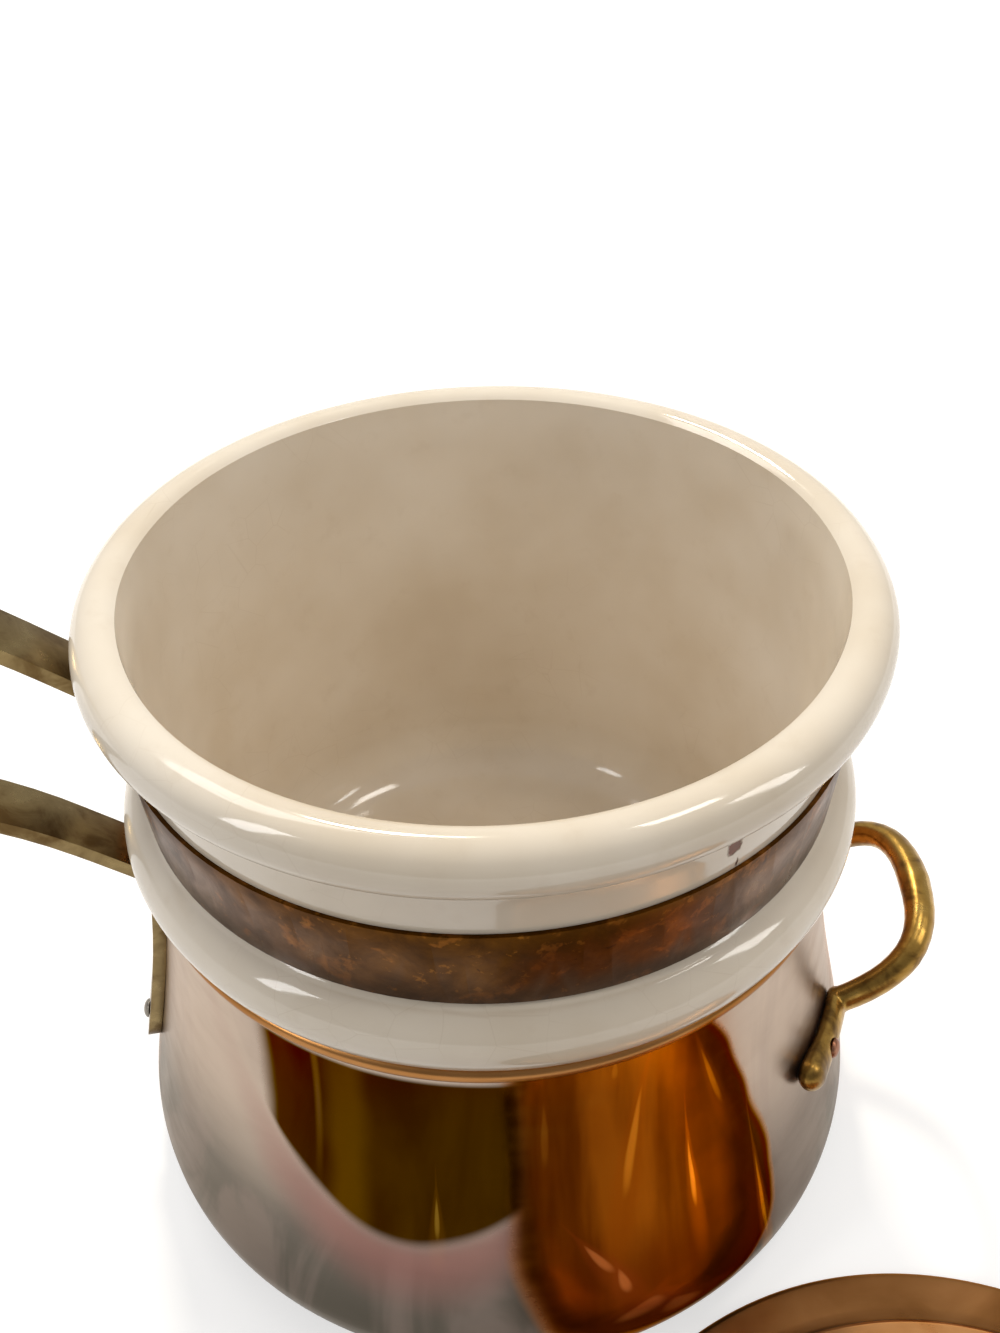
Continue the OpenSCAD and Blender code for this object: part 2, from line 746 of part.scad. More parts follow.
// The insert's handle is the same brass bar, riveted to the strap
strap_rivet_h = [strap_low + strap_h / 4, strap_high - strap_h / 4];
tang_margin = 0.4;
tang_over = 1;
strap_tang = [
    for (h = [strap_low + tang_margin, strap_high + tang_over])
        [upper_wall_r(h) + strap_t + bar_t / 2 - tang_sink, h]
];
module insert_handle() {
    color(brass)
    translate([0, 0, seat_z])
        difference() {
            rotate(180)
                difference() {
                    bar_handle(strap_tang, -strap_lean, strap_low + tang_margin, strap_out_r);
                    for (h = strap_rivet_h)
                        on_strap(h)
                            shank_hole();
                }
            wall_core(strap_t + tang_room);
        }
}
module insert_handle_rivets() {
    color(copper)
    translate([0, 0, seat_z])
        rotate(180)
            for (h = strap_rivet_h)
                on_strap(h)
                    flush_rivet(bar_t - tang_sink + head_seat, strap_t - strap_room);
}

// The lid lies beside the pot on its turned-down lip
lid_r = rim_r + lid_over;
lid_at = (belly_r + lid_gap + lid_r) * [cos(lid_turn), sin(lid_turn), 0];
shoulder_r = 1.6;
shoulder_steps = 5;
lid_step_r = lid_r - flange_w;
lid_flat_r = 13;
flange_fall = 0.5;
crown_steps = 12;
step_run = 1.8;
crown_less = 0.6;
crown_foot = [lid_step_r - step_run, lip_h + flange_fall + lid_step];
function lid_line(drop) = concat(
    arc([lid_r - shoulder_r, lip_h - shoulder_r], shoulder_r - drop, 0, 90, shoulder_steps),
    [[lid_step_r + drop, lip_h + flange_fall - drop]],
    [for (i = [0:crown_steps])
        let (u = 1 - i / crown_steps, run = crown_foot[0] - lid_flat_r - drop * crown_less)
        [lid_flat_r + run * u, crown_foot[1] + crown_h * (1 - u * u) - drop]]
);
lid_top_z = crown_foot[1] + crown_h;

module lid_shell() {
    color(copper)
    translate(lid_at)
        difference() {
            rotate_extrude()
                polygon(concat(
                    [[lid_r, 0]], lid_line(0), [[0, lid_top_z], [0, lid_top_z - lid_t]],
                    reversed(lid_line(lid_t)), [[lid_r - lid_t, 0]]
                ));
            cylinder(d = knob_screw_d + 2 * hole_room, h = 2 * lid_top_z);
        }
}
lining_rise = 0.8;
module lid_tin_lining() {
    color(tin)
    translate(lid_at)
        difference() {
            rotate_extrude()
                polygon(concat(
                    [[lid_r - lid_t, lining_rise]], lid_line(lid_t),
                    [[0, lid_top_z - lid_t], [0, lid_top_z - lid_t - tin_t]],
                    reversed(lid_line(lid_t + tin_t)), [[lid_r - lid_t - tin_t, lining_rise]]
                ));
            cylinder(d = knob_screw_d + 2 * hole_room, h = 2 * lid_top_z);
        }
}
washer_h = 1;
washer_r = 5.5;
knob_bore = knob_h / 2;
knob_screw_head_d = head_wider * knob_screw_d;
knob_screw_head_h = head_rise * knob_screw_d;
// Shares of the knob's radius and height: foot, waist and ball
knob_foot_share = 0.75;
knob_neck_share = 0.42;
knob_base_share = 0.06;
knob_waist_share = 0.3;
knob_hollow_share = 0.22;
knob_ball_share = 0.6;
knob_ball_start = -62;
module lid_knob() {
    foot = knob_foot_share * knob_r;
    neck = knob_neck_share * knob_r;
    ball_h = knob_ball_share * knob_h;
    color(brass)
    translate(lid_at + [0, 0, lid_top_z])
        difference() {
            rotate_extrude()
                polygon(concat(
                    [[0, 0], [foot, 0], [foot, knob_base_share * knob_h]],
                    oval_arc(
                        [foot, knob_waist_share * knob_h],
                        foot - neck, knob_hollow_share * knob_h, -90, -180
                    ),
                    oval_arc([0, knob_h - ball_h / 2], knob_r, ball_h / 2, knob_ball_start, 90)
                ));
            translate([0, 0, -over])
                cylinder(d = knob_screw_d + 2 * hole_room, h = knob_bore + over);
        }
}
module lid_knob_screw() {
    head_z = lid_top_z - lid_t - tin_t - washer_h;
    color(steel)
    translate(lid_at + [0, 0, head_z]) {
        cylinder(d = knob_screw_d, h = lid_t + tin_t + washer_h + knob_bore - over);
        rotate_extrude()
            polygon(concat(
                [[0, 0]],
                oval_arc([0, 0], knob_screw_head_d / 2, knob_screw_head_h, 0, -90)
            ));
    }
}
module lid_knob_washer() {
    color(brass)
    translate(lid_at + [0, 0, lid_top_z - lid_t - tin_t - washer_h])
        difference() {
            cylinder(r = washer_r, h = washer_h);
            translate([0, 0, -over])
                cylinder(d = knob_screw_d + 2 * hole_room, h = washer_h + 2 * over);
        }
}

echo(seat_z = seat_z, lid_top_z = lid_top_z);
echo(pot_eye = bar_eye(bar_path(pot_tang, pot_lean)));
echo(insert_eye = bar_eye(bar_path(strap_tang, -strap_lean)) + [0, seat_z]);

pot_shell();
pot_tin_lining();
pot_long_handle();
pot_long_handle_rivets();
pot_loop_handle();
pot_loop_handle_rivet();
insert_bowl();
insert_strap();
strap_screw();
strap_nut();
insert_handle();
insert_handle_rivets();
lid_shell();
lid_tin_lining();
lid_knob();
lid_knob_screw();
lid_knob_washer();
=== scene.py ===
import math

import bmesh
import bpy
from mathutils import Matrix, Vector, noise


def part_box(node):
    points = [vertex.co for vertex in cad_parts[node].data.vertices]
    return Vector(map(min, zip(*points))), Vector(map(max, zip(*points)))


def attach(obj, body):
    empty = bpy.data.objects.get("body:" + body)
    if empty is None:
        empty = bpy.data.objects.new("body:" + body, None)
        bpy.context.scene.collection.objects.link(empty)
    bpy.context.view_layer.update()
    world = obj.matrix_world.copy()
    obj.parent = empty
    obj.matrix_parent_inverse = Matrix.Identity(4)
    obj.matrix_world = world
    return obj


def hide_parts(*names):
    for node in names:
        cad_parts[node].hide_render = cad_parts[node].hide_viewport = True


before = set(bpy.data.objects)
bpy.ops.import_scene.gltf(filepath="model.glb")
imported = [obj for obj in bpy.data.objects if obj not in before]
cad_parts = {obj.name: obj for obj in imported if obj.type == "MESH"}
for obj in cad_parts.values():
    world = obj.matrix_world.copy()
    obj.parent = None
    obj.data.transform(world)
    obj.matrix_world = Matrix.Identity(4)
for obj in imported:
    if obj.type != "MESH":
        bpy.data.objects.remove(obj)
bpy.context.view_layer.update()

# Lengths are written in millimetres and turned into Blender's metres with MM, angles in degrees
MM = 0.001
# Faces round a turned piece, and the radius under which a point lies on the axis
TURNS = 192
ON_AXIS = 1e-6
# The solids' meshes: corners this near are joined, faces this flat become one
WELD = 0.002
FLAT_ANGLE = 0.4
# Edges are rounded from one angle on, and shaded sharp from the others on
BEVEL_ANGLE = 32
SMOOTH_ANGLE = 35
SOFT_ANGLE = 40
# The lumps of a casting's skin
SKIN_LUMP = 7


# Outlines

def arc(centre, rx, rz, start, end, steps):
    """Points of an ellipse's arc in radius and height, angles in degrees."""
    points = []
    for i in range(steps + 1):
        a = math.radians(start + (end - start) * i / steps)
        points.append((centre[0] + rx * math.cos(a), centre[1] + rz * math.sin(a)))
    return points


def cubic(p, t):
    """A point of a cubic curve with four control points."""
    a, b, c, d = (1 - t) ** 3, 3 * t * (1 - t) ** 2, 3 * t * t * (1 - t), t ** 3
    return tuple(a * p[0][i] + b * p[1][i] + c * p[2][i] + d * p[3][i] for i in (0, 1))


def line(start, end, steps):
    """Evenly spaced points from start up to, but without, end."""
    return [tuple(start[i] + (end[i] - start[i]) * k / steps for i in (0, 1)) for k in range(steps)]


def near(corner, *offsets):
    """Points at small offsets from a corner, which round it a little."""
    return [(corner[0] + r, corner[1] + z) for r, z in offsets]


# Pieces

def new_object(name, mesh):
    piece = bpy.data.objects.new(name, mesh)
    bpy.context.scene.collection.objects.link(piece)
    return piece


def smooth(mesh, angle=SMOOTH_ANGLE):
    """Smooth shading with sharp edges where two faces meet at more than an angle."""
    mesh.shade_smooth()
    mesh.set_sharp_from_angle(angle=math.radians(angle))


def revolve(name, outline, centre=(0, 0), base_z=0, warp=None):
    """A closed solid of revolution from a closed outline of (radius, height) in millimetres."""
    mesh = bpy.data.meshes.new(name)
    made = bmesh.new()
    rings = []
    for r, z in outline:
        ring = []
        count = 1 if r < ON_AXIS else TURNS
        for k in range(count):
            a = 2 * math.pi * k / TURNS
            radius, height = (r, z) if warp is None else warp(r, z, a)
            ring.append(made.verts.new((
                MM * (centre[0] + radius * math.cos(a)),
                MM * (centre[1] + radius * math.sin(a)),
                MM * (base_z + height),
            )))
        rings.append(ring)
    for i, low in enumerate(rings):
        high = rings[(i + 1) % len(rings)]
        if len(low) == 1 and len(high) == 1:
            continue
        for k in range(TURNS):
            n = (k + 1) % TURNS
            corners = (
                low[k % len(low)], low[n % len(low)], high[n % len(high)], high[k % len(high)],
            )
            made.faces.new(list(dict.fromkeys(corners)))
    bmesh.ops.recalc_face_normals(made, faces=made.faces)
    made.to_mesh(mesh)
    made.free()
    smooth(mesh)
    return new_object(name, mesh)


def welded_copy(node, name):
    """A new mesh with a node's shape, its split corners joined and its flat faces whole."""
    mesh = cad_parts[node].data.copy()
    mesh.name = name
    made = bmesh.new()
    made.from_mesh(mesh)
    bmesh.ops.remove_doubles(made, verts=made.verts, dist=WELD * MM)
    bmesh.ops.dissolve_degenerate(made, edges=made.edges, dist=WELD / 2 * MM)
    bmesh.ops.dissolve_limit(
        made, angle_limit=math.radians(FLAT_ANGLE), verts=made.verts, edges=made.edges,
    )
    bmesh.ops.recalc_face_normals(made, faces=made.faces)
    made.to_mesh(mesh)
    made.free()
    mesh.materials.clear()
    return mesh


def apply_modifiers(piece):
    """Bakes a piece's modifiers into its mesh."""
    graph = bpy.context.evaluated_depsgraph_get()
    done = bpy.data.meshes.new_from_object(piece.evaluated_get(graph))
    piece.modifiers.clear()
    piece.data = done


def softened(node, name, edge, segments):
    """A node's shape with its sharp edges rounded by an edge width in millimetres."""
    piece = new_object(name, welded_copy(node, name))
    bevel = piece.modifiers.new("edges", "BEVEL")
    bevel.width = edge * MM
    bevel.segments = segments
    bevel.limit_method = "ANGLE"
    bevel.angle_limit = math.radians(BEVEL_ANGLE)
    bevel.use_clamp_overlap = True
    bevel.harden_normals = False
    apply_modifiers(piece)
    smooth(piece.data, SOFT_ANGLE)
    return piece


def cast(node, name, voxel, rounds, lumps):
    """A node's shape as a casting: corners melted in rounds, skin uneven by lumps millimetres."""
    piece = new_object(name, welded_copy(node, name))
    remesh = piece.modifiers.new("skin", "REMESH")
    remesh.mode = "VOXEL"
    remesh.voxel_size = voxel * MM
    melt = piece.modifiers.new("melt", "SMOOTH")
    melt.factor = 0.5
    melt.iterations = rounds
    apply_modifiers(piece)
    out = [v.normal.copy() for v in piece.data.vertices]
    for v, normal in zip(piece.data.vertices, out):
        v.co += normal * lumps * MM * noise.noise(v.co / (SKIN_LUMP * MM))
    piece.data.shade_smooth()
    return piece


def dress(piece, body, slot, material, *nodes):
    """Gives a piece its material, puts it under its body and hides the nodes that it stands for;
    the slot is not used.
    """
    piece.data.materials.clear()
    piece.data.materials.append(material)
    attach(piece, body)
    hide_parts(*nodes)
    return piece


# Materials

class Paint:
    """A material made of nodes, with short calls for the nodes that repeat."""

    def __init__(self, name):
        self.material = bpy.data.materials.new(name)
        self.material.use_nodes = True
        self.tree = self.material.node_tree
        self.shader = self.tree.nodes["Principled BSDF"]
        self.place = self.tree.nodes.new("ShaderNodeTexCoord").outputs["Object"]

    def put(self, socket, value):
        if isinstance(value, bpy.types.NodeSocket):
            self.tree.links.new(value, socket)
        else:
            socket.default_value = value

    def math(self, operation, first, second=0.0, third=0.0):
        made = self.tree.nodes.new("ShaderNodeMath")
        made.operation = operation
        for socket, value in zip(made.inputs, (first, second, third)):
            self.put(socket, value)
        return made.outputs[0]

    def product(self, first, *others):
        """Multiplies values or sockets, one after the other."""
        for other in others:
            first = self.math("MULTIPLY", first, other)
        return first

    def past(self, value, limit):
        """How far a value lies above a limit, and 0 below it."""
        return self.math("MAXIMUM", self.math("SUBTRACT", value, limit), 0)

    def away(self, value, middle):
        """Distance of a value from a middle, on either side."""
        return self.math("ABSOLUTE", self.math("SUBTRACT", value, middle))

    def vector(self, operation, first, second=(0, 0, 0)):
        made = self.tree.nodes.new("ShaderNodeVectorMath")
        made.operation = operation
        self.put(made.inputs[0], first)
        self.put(made.inputs[1], second)
        return made.outputs["Value" if operation in ("DOT_PRODUCT", "LENGTH") else "Vector"]

    def noise(self, size, detail=4.0, rough=0.55, bend=0.0, stretch=(1, 1, 1)):
        """Noise with lumps about size millimetres across, and smaller along a stretched axis."""
        made = self.tree.nodes.new("ShaderNodeTexNoise")
        self.put(made.inputs["Vector"], self.vector("MULTIPLY", self.place, stretch))
        made.inputs["Scale"].default_value = 1 / (size * MM)
        made.inputs["Detail"].default_value = detail
        made.inputs["Roughness"].default_value = rough
        made.inputs["Distortion"].default_value = bend
        return made.outputs["Fac"]

    def from_cracks(self, size):
        """Distance from the edges of cells that are about size millimetres across."""
        made = self.tree.nodes.new("ShaderNodeTexVoronoi")
        made.feature = "DISTANCE_TO_EDGE"
        self.put(made.inputs["Vector"], self.place)
        made.inputs["Scale"].default_value = 1 / (size * MM)
        return made.outputs["Distance"]

    def steps(self, value, low, high, start=0.0, end=1.0):
        """Smoothly runs from start to end while value runs from low to high."""
        made = self.tree.nodes.new("ShaderNodeMapRange")
        made.interpolation_type = "SMOOTHSTEP"
        for socket, setting in zip(made.inputs, (value, low, high, start, end)):
            self.put(socket, setting)
        return made.outputs[0]

    def ramp(self, value, stops):
        """A colour ramp with stops given as (position, (red, green, blue))."""
        made = self.tree.nodes.new("ShaderNodeValToRGB")
        while len(made.color_ramp.elements) < len(stops):
            made.color_ramp.elements.new(0.5)
        for element, (position, tone) in zip(made.color_ramp.elements, stops):
            element.position = position
            element.color = colour(*tone)
        self.put(made.inputs[0], value)
        return made.outputs["Color"]

    def blend(self, share, first, second):
        made = self.tree.nodes.new("ShaderNodeMix")
        made.data_type = "RGBA"
        self.put(made.inputs[0], share)
        for socket, value in zip((made.inputs[6], made.inputs[7]), (first, second)):
            self.put(socket, value if isinstance(value, bpy.types.NodeSocket) else (*value, 1))
        return made.outputs[2]

    def height(self):
        """Height above the stove, in millimetres."""
        made = self.tree.nodes.new("ShaderNodeSeparateXYZ")
        self.put(made.inputs[0], self.place)
        return self.math("DIVIDE", made.outputs["Z"], MM)

    def radius(self, centre=(0, 0)):
        """Distance from an upright axis, in millimetres."""
        moved = self.vector("SUBTRACT", self.place, (centre[0] * MM, centre[1] * MM, 0))
        flat = self.vector("MULTIPLY", moved, (1, 1, 0))
        return self.math("DIVIDE", self.vector("LENGTH", flat), MM)

    def azimuth(self):
        """Degrees round the part's own upright axis, from -180 to 180."""
        made = self.tree.nodes.new("ShaderNodeSeparateXYZ")
        self.put(made.inputs[0], self.place)
        return self.math("DEGREES", self.math("ARCTAN2", made.outputs["Y"], made.outputs["X"]))

    def facing(self, azimuth):
        """1 on the side that looks towards an azimuth in degrees, -1 on the other side."""
        a = math.radians(azimuth)
        flat = self.vector("NORMALIZE", self.vector("MULTIPLY", self.place, (1, 1, 0)))
        return self.vector("DOT_PRODUCT", flat, (math.cos(a), math.sin(a), 0))

    def spun(self, width, centre=(0, 0), seed=0.0):
        """Fine lines that run round an upright axis, as spinning and polishing leave them."""
        rings = self.math("DIVIDE", self.radius(centre), width)
        levels = self.math("DIVIDE", self.height(), width)
        return self.noise_over(rings, levels, seed)

    def curtains(self, wide, tall):
        """Upright streaks round the part's own axis, so many degrees wide and millimetres tall."""
        turns = self.math("DIVIDE", self.azimuth(), wide)
        levels = self.math("DIVIDE", self.height(), tall)
        return self.noise_over(turns, levels)

    def noise_over(self, first, second, seed=0.0):
        """Noise over two values of the surface instead of over its place."""
        joined = self.tree.nodes.new("ShaderNodeCombineXYZ")
        self.put(joined.inputs[0], first)
        self.put(joined.inputs[1], second)
        joined.inputs[2].default_value = seed
        made = self.tree.nodes.new("ShaderNodeTexNoise")
        self.put(made.inputs["Vector"], joined.outputs[0])
        made.inputs["Scale"].default_value = 1
        made.inputs["Detail"].default_value = 3
        return made.outputs["Fac"]

    def bumps(self, height, depth, normal=None):
        """A bump with a depth in millimetres."""
        made = self.tree.nodes.new("ShaderNodeBump")
        made.inputs["Strength"].default_value = 1
        made.inputs["Distance"].default_value = depth * MM
        self.put(made.inputs["Height"], height)
        if normal is not None:
            self.put(made.inputs["Normal"], normal)
        return made.outputs["Normal"]

    def set(self, **sockets):
        for name, value in sockets.items():
            self.put(self.shader.inputs[name.replace("_", " ")], value)
        return self.material


def colour(r, g, b):
    return (r, g, b, 1)


# Tones as stops of a ramp: (place on the ramp, (red, green, blue))
CLEAN_COPPER = (
    (0.3, (0.62, 0.235, 0.06)), (0.55, (0.78, 0.335, 0.105)), (0.75, (0.86, 0.42, 0.16)),
)
# Painted reflections on the polished copper: of the pale floor, of a dark room and of the lid
PALE_REFLECTION = ((0.0, (0.070, 0.062, 0.047)), (0.4, (0.135, 0.117, 0.096)), (1.0, (0.46, 0.37, 0.30)))
DARK_REFLECTION = ((0.35, (0.030, 0.011, 0.001)), (0.6, (0.050, 0.021, 0.002)), (0.8, (0.078, 0.034, 0.004)))
AMBER_LID_REFLECTION = ((0.24, (0.15, 0.050, 0.002)), (0.42, (0.29, 0.120, 0.008)), (0.62, (0.58, 0.28, 0.03)))
WORN_RIM = ((0.4, (0.27, 0.11, 0.024)), (0.6, (0.40, 0.185, 0.06)))
WIPED_TIN = ((0.36, (0.15, 0.112, 0.066)), (0.5, (0.26, 0.21, 0.142)), (0.66, (0.41, 0.345, 0.25)))
TARNISH = (
    (0.34, (0.048, 0.017, 0.001)), (0.5, (0.080, 0.029, 0.002)), (0.68, (0.125, 0.048, 0.005)),
)
SATIN = ((0.3, (0.72, 0.31, 0.10)), (0.52, (0.86, 0.42, 0.16)), (0.72, (0.93, 0.50, 0.21)))
FLANGE_DARK = ((0.3, (0.19, 0.075, 0.020)), (0.52, (0.26, 0.115, 0.036)), (0.72, (0.33, 0.155, 0.055)))
IVORY = ((0.3, (0.67, 0.57, 0.44)), (0.5, (0.73, 0.64, 0.52)), (0.7, (0.77, 0.69, 0.58)))
BARE_CLAY = ((0.35, (0.055, 0.018, 0.010)), (0.6, (0.17, 0.055, 0.025)))

# Single tones
# Painted highlights on the polished copper: bright cores and their glows
FLAME_CORE = (1.0, 0.60, 0.08)
FLAME_HALO = (0.62, 0.24, 0.014)
PINK_CORE = (1.0, 0.55, 0.30)
PINK_HALO = (0.50, 0.16, 0.05)
# Tones of the painted reflections on the polished copper
PINK_REFLECTION_HAZE = (0.27, 0.105, 0.088)
PALE_REFLECTION_STREAK = (0.28, 0.21, 0.18)
DARK_REFLECTION_END_TONE = (0.10, 0.058, 0.012)
DARK_REFLECTION_BAND_TONE = (0.11, 0.053, 0.005)
DARK_REFLECTION_STRIP_TONE = (0.20, 0.10, 0.04)
AMBER_FOOT_TONE = (0.19, 0.052, 0.007)
AMBER_SHADE = (0.052, 0.028, 0.003)
AMBER_EDGE = (0.10, 0.022, 0.006)
COPPER_EDGE_ON = (0.5, 0.36, 0.26)
PALE_REFLECTION_EDGE_ON = (0.9, 0.84, 0.78)
LID_EDGE_ON = (0.62, 0.42, 0.28)
STEAM_BROWN = (0.15, 0.105, 0.05)
BRASS_BROWN = (0.10, 0.055, 0.018)
TARNISH_ORANGE = (0.20, 0.070, 0.009)
TARNISH_DOTS = (0.25, 0.095, 0.012)
TARNISH_DARK = (0.035, 0.013, 0.004)
LID_BROWN = (0.40, 0.15, 0.045)
GLAZE_MOTTLE = (0.55, 0.43, 0.30)
GLAZE_CRACKS = (0.42, 0.30, 0.18)

# Painted highlights on the polished copper: azimuth and height of the middle, half width in
# degrees, half height in millimetres, lean in degrees per millimetre, strength
FLAME_HIGHLIGHTS = (
    (-79.0, 73, 0.75, 15, 0.115, 1.0), (-69.8, 56, 0.4, 10, -0.02, 0.6),
    (-57.2, 34, 0.4, 13, -0.03, 0.6), (-65.4, 81, 0.5, 10, -0.187, 0.22),
    (-92.4, 81, 0.6, 9, 0, 0.2), (-81.8, 96, 0.5, 3, 0, 0.4), (-108.2, 57, 0.35, 6, 0, 0.12),
)
PINK_HIGHLIGHTS = (
    (-85.2, 42, 0.8, 5, -0.40, 0.85), (-81.7, 33.5, 0.8, 4, -0.16, 0.75),
    (-79.0, 23, 3.4, 2.4, 0.6, 0.75), (-73.5, 19.5, 3.0, 2.2, -0.4, 0.5),
)
# How much a mark narrows over its half height, its least width and its share of the wander
MARK_TAPER = 0.5
MARK_LEAST = 0.2
MARK_SWAY = 0.25
# The glow round a mark: its strength beside the core's, and its reach
HALO_SHARE = 0.42
HALO_REACH = 9

# Places on the polished copper, among them those of the painted dark reflection and the painted
# reflection of the lid, in degrees round the pot and millimetres above the stove
DARK_REFLECTION_MIDDLE = -113
DARK_REFLECTION_LOW = 48
DARK_REFLECTION_BEND = 0.04
DARK_REFLECTION_LEFT = (-138, -134)
DARK_REFLECTION_RIGHT = (-97, -93)
DARK_REFLECTION_TOP = (96, 98)
DARK_REFLECTION_BAND = -121.8
DARK_REFLECTION_STRIP = -126.4
AMBER_LEFT = -96.5
AMBER_LEFT_BEND = 0.006
AMBER_RIGHT = -54.3
AMBER_WIDEST = 32
AMBER_BEND_ABOVE = 0.0025
AMBER_BEND_BELOW = 0.033
AMBER_FOOT = 50
AMBER_GLOW = -80
FRONT = -100
RIM_STARTS = (98.6, 99.6)


def paint_highlights(p, tone, marks, core, halo, wander):
    """Paints soft upright highlights, each a bright core in a wider glow."""
    for azimuth, height, wide, tall, lean, strength in marks:
        off_z = p.math("SUBTRACT", p.height(), height)
        off_a = p.math("SUBTRACT", p.azimuth(), p.math("MULTIPLY_ADD", off_z, lean, azimuth))
        off_a = p.math("MULTIPLY_ADD", wander, MARK_SWAY, off_a)
        # A mark is wider towards its foot
        widths = p.math("MULTIPLY_ADD", off_z, -MARK_TAPER * wide / tall, wide)
        off_a = p.math("DIVIDE", off_a, p.math("MAXIMUM", widths, MARK_LEAST * wide))
        off_z = p.math("DIVIDE", off_z, tall)
        away = p.math("ADD", p.product(off_a, off_a), p.product(off_z, off_z))
        tone = p.blend(p.steps(away, 0.2, HALO_REACH, HALO_SHARE * strength, 0), tone, halo)
        tone = p.blend(p.steps(away, 0.1, 1.3, strength, 0), tone, core)
    return tone


def dark_reflection_places(p, around, up):
    """The painted dark reflection's mask, the height over its bowl-shaped lower edge, and the mask
    left of the dark reflection's right end."""
    off_middle = p.math("SUBTRACT", around, DARK_REFLECTION_MIDDLE)
    edge = p.math("MULTIPLY_ADD", p.product(off_middle, off_middle), DARK_REFLECTION_BEND, DARK_REFLECTION_LOW)
    over_edge = p.math("SUBTRACT", up, edge)
    left_of_end = p.steps(around, *DARK_REFLECTION_RIGHT, 1, 0)
    dark_reflection = p.product(
        p.steps(over_edge, -1.5, 2.5), p.steps(around, *DARK_REFLECTION_LEFT), left_of_end,
        p.steps(p.height(), *DARK_REFLECTION_TOP, 1, 0),
    )
    return dark_reflection, over_edge, left_of_end


def lid_reflection_places(p, around, up):
    """The mask of the lid's amber painted reflection, which bulges to the right, and the degrees
    past that edge.
    """
    above, below = p.past(up, AMBER_WIDEST), p.past(AMBER_WIDEST, up)
    bulge = p.math(
        "ADD", p.product(above, above, AMBER_BEND_ABOVE), p.product(below, below, AMBER_BEND_BELOW),
    )
    past_right = p.math("SUBTRACT", around, p.math("SUBTRACT", AMBER_RIGHT, bulge))
    foot = p.past(AMBER_FOOT, up)
    left = p.math("MULTIPLY_ADD", p.product(foot, foot), AMBER_LEFT_BEND, AMBER_LEFT)
    past_left = p.math("SUBTRACT", around, left)
    lid_reflection = p.product(p.steps(past_left, -2.4, 2.0), p.steps(past_right, -0.9, 0.9, 1, 0))
    return lid_reflection, past_right


def dark_reflection_tone(p, streaks, around, up):
    """The painted dark reflection's own tones: a paler end on the left, a band and a narrow strip.
    """
    tone = p.ramp(streaks, DARK_REFLECTION)
    tone = p.blend(p.steps(around, -140, -127, 0.4, 0), tone, DARK_REFLECTION_END_TONE)
    band = p.steps(p.away(around, DARK_REFLECTION_BAND), 1, 5, 0.55, 0)
    tone = p.blend(band, tone, DARK_REFLECTION_BAND_TONE)
    strip = p.steps(p.away(p.azimuth(), DARK_REFLECTION_STRIP), 0.1, 0.9, 0.5, 0)
    return p.blend(p.product(strip, p.steps(up, 50, 90)), tone, DARK_REFLECTION_STRIP_TONE)


def lid_reflection_tone(p, up, past_right):
    """The painted lid reflection's own tones: hanging streaks, a red foot, a painted shade and a
    dark edge.
    """
    glow = p.steps(p.away(p.azimuth(), AMBER_GLOW), 1, 14, 0.3, 0)
    tone = p.ramp(p.math("MULTIPLY_ADD", p.curtains(4.5, 60), 0.6, glow), AMBER_LID_REFLECTION)
    tone = p.blend(p.steps(up, 54, 30, 0, 0.75), tone, AMBER_FOOT_TONE)
    tone = p.blend(p.steps(p.azimuth(), -77, -66, 0, 0.85), tone, AMBER_SHADE)
    edge_line = p.steps(p.away(past_right, -0.9), 0.1, 1.1, 0.6, 0)
    return p.blend(edge_line, tone, AMBER_EDGE)


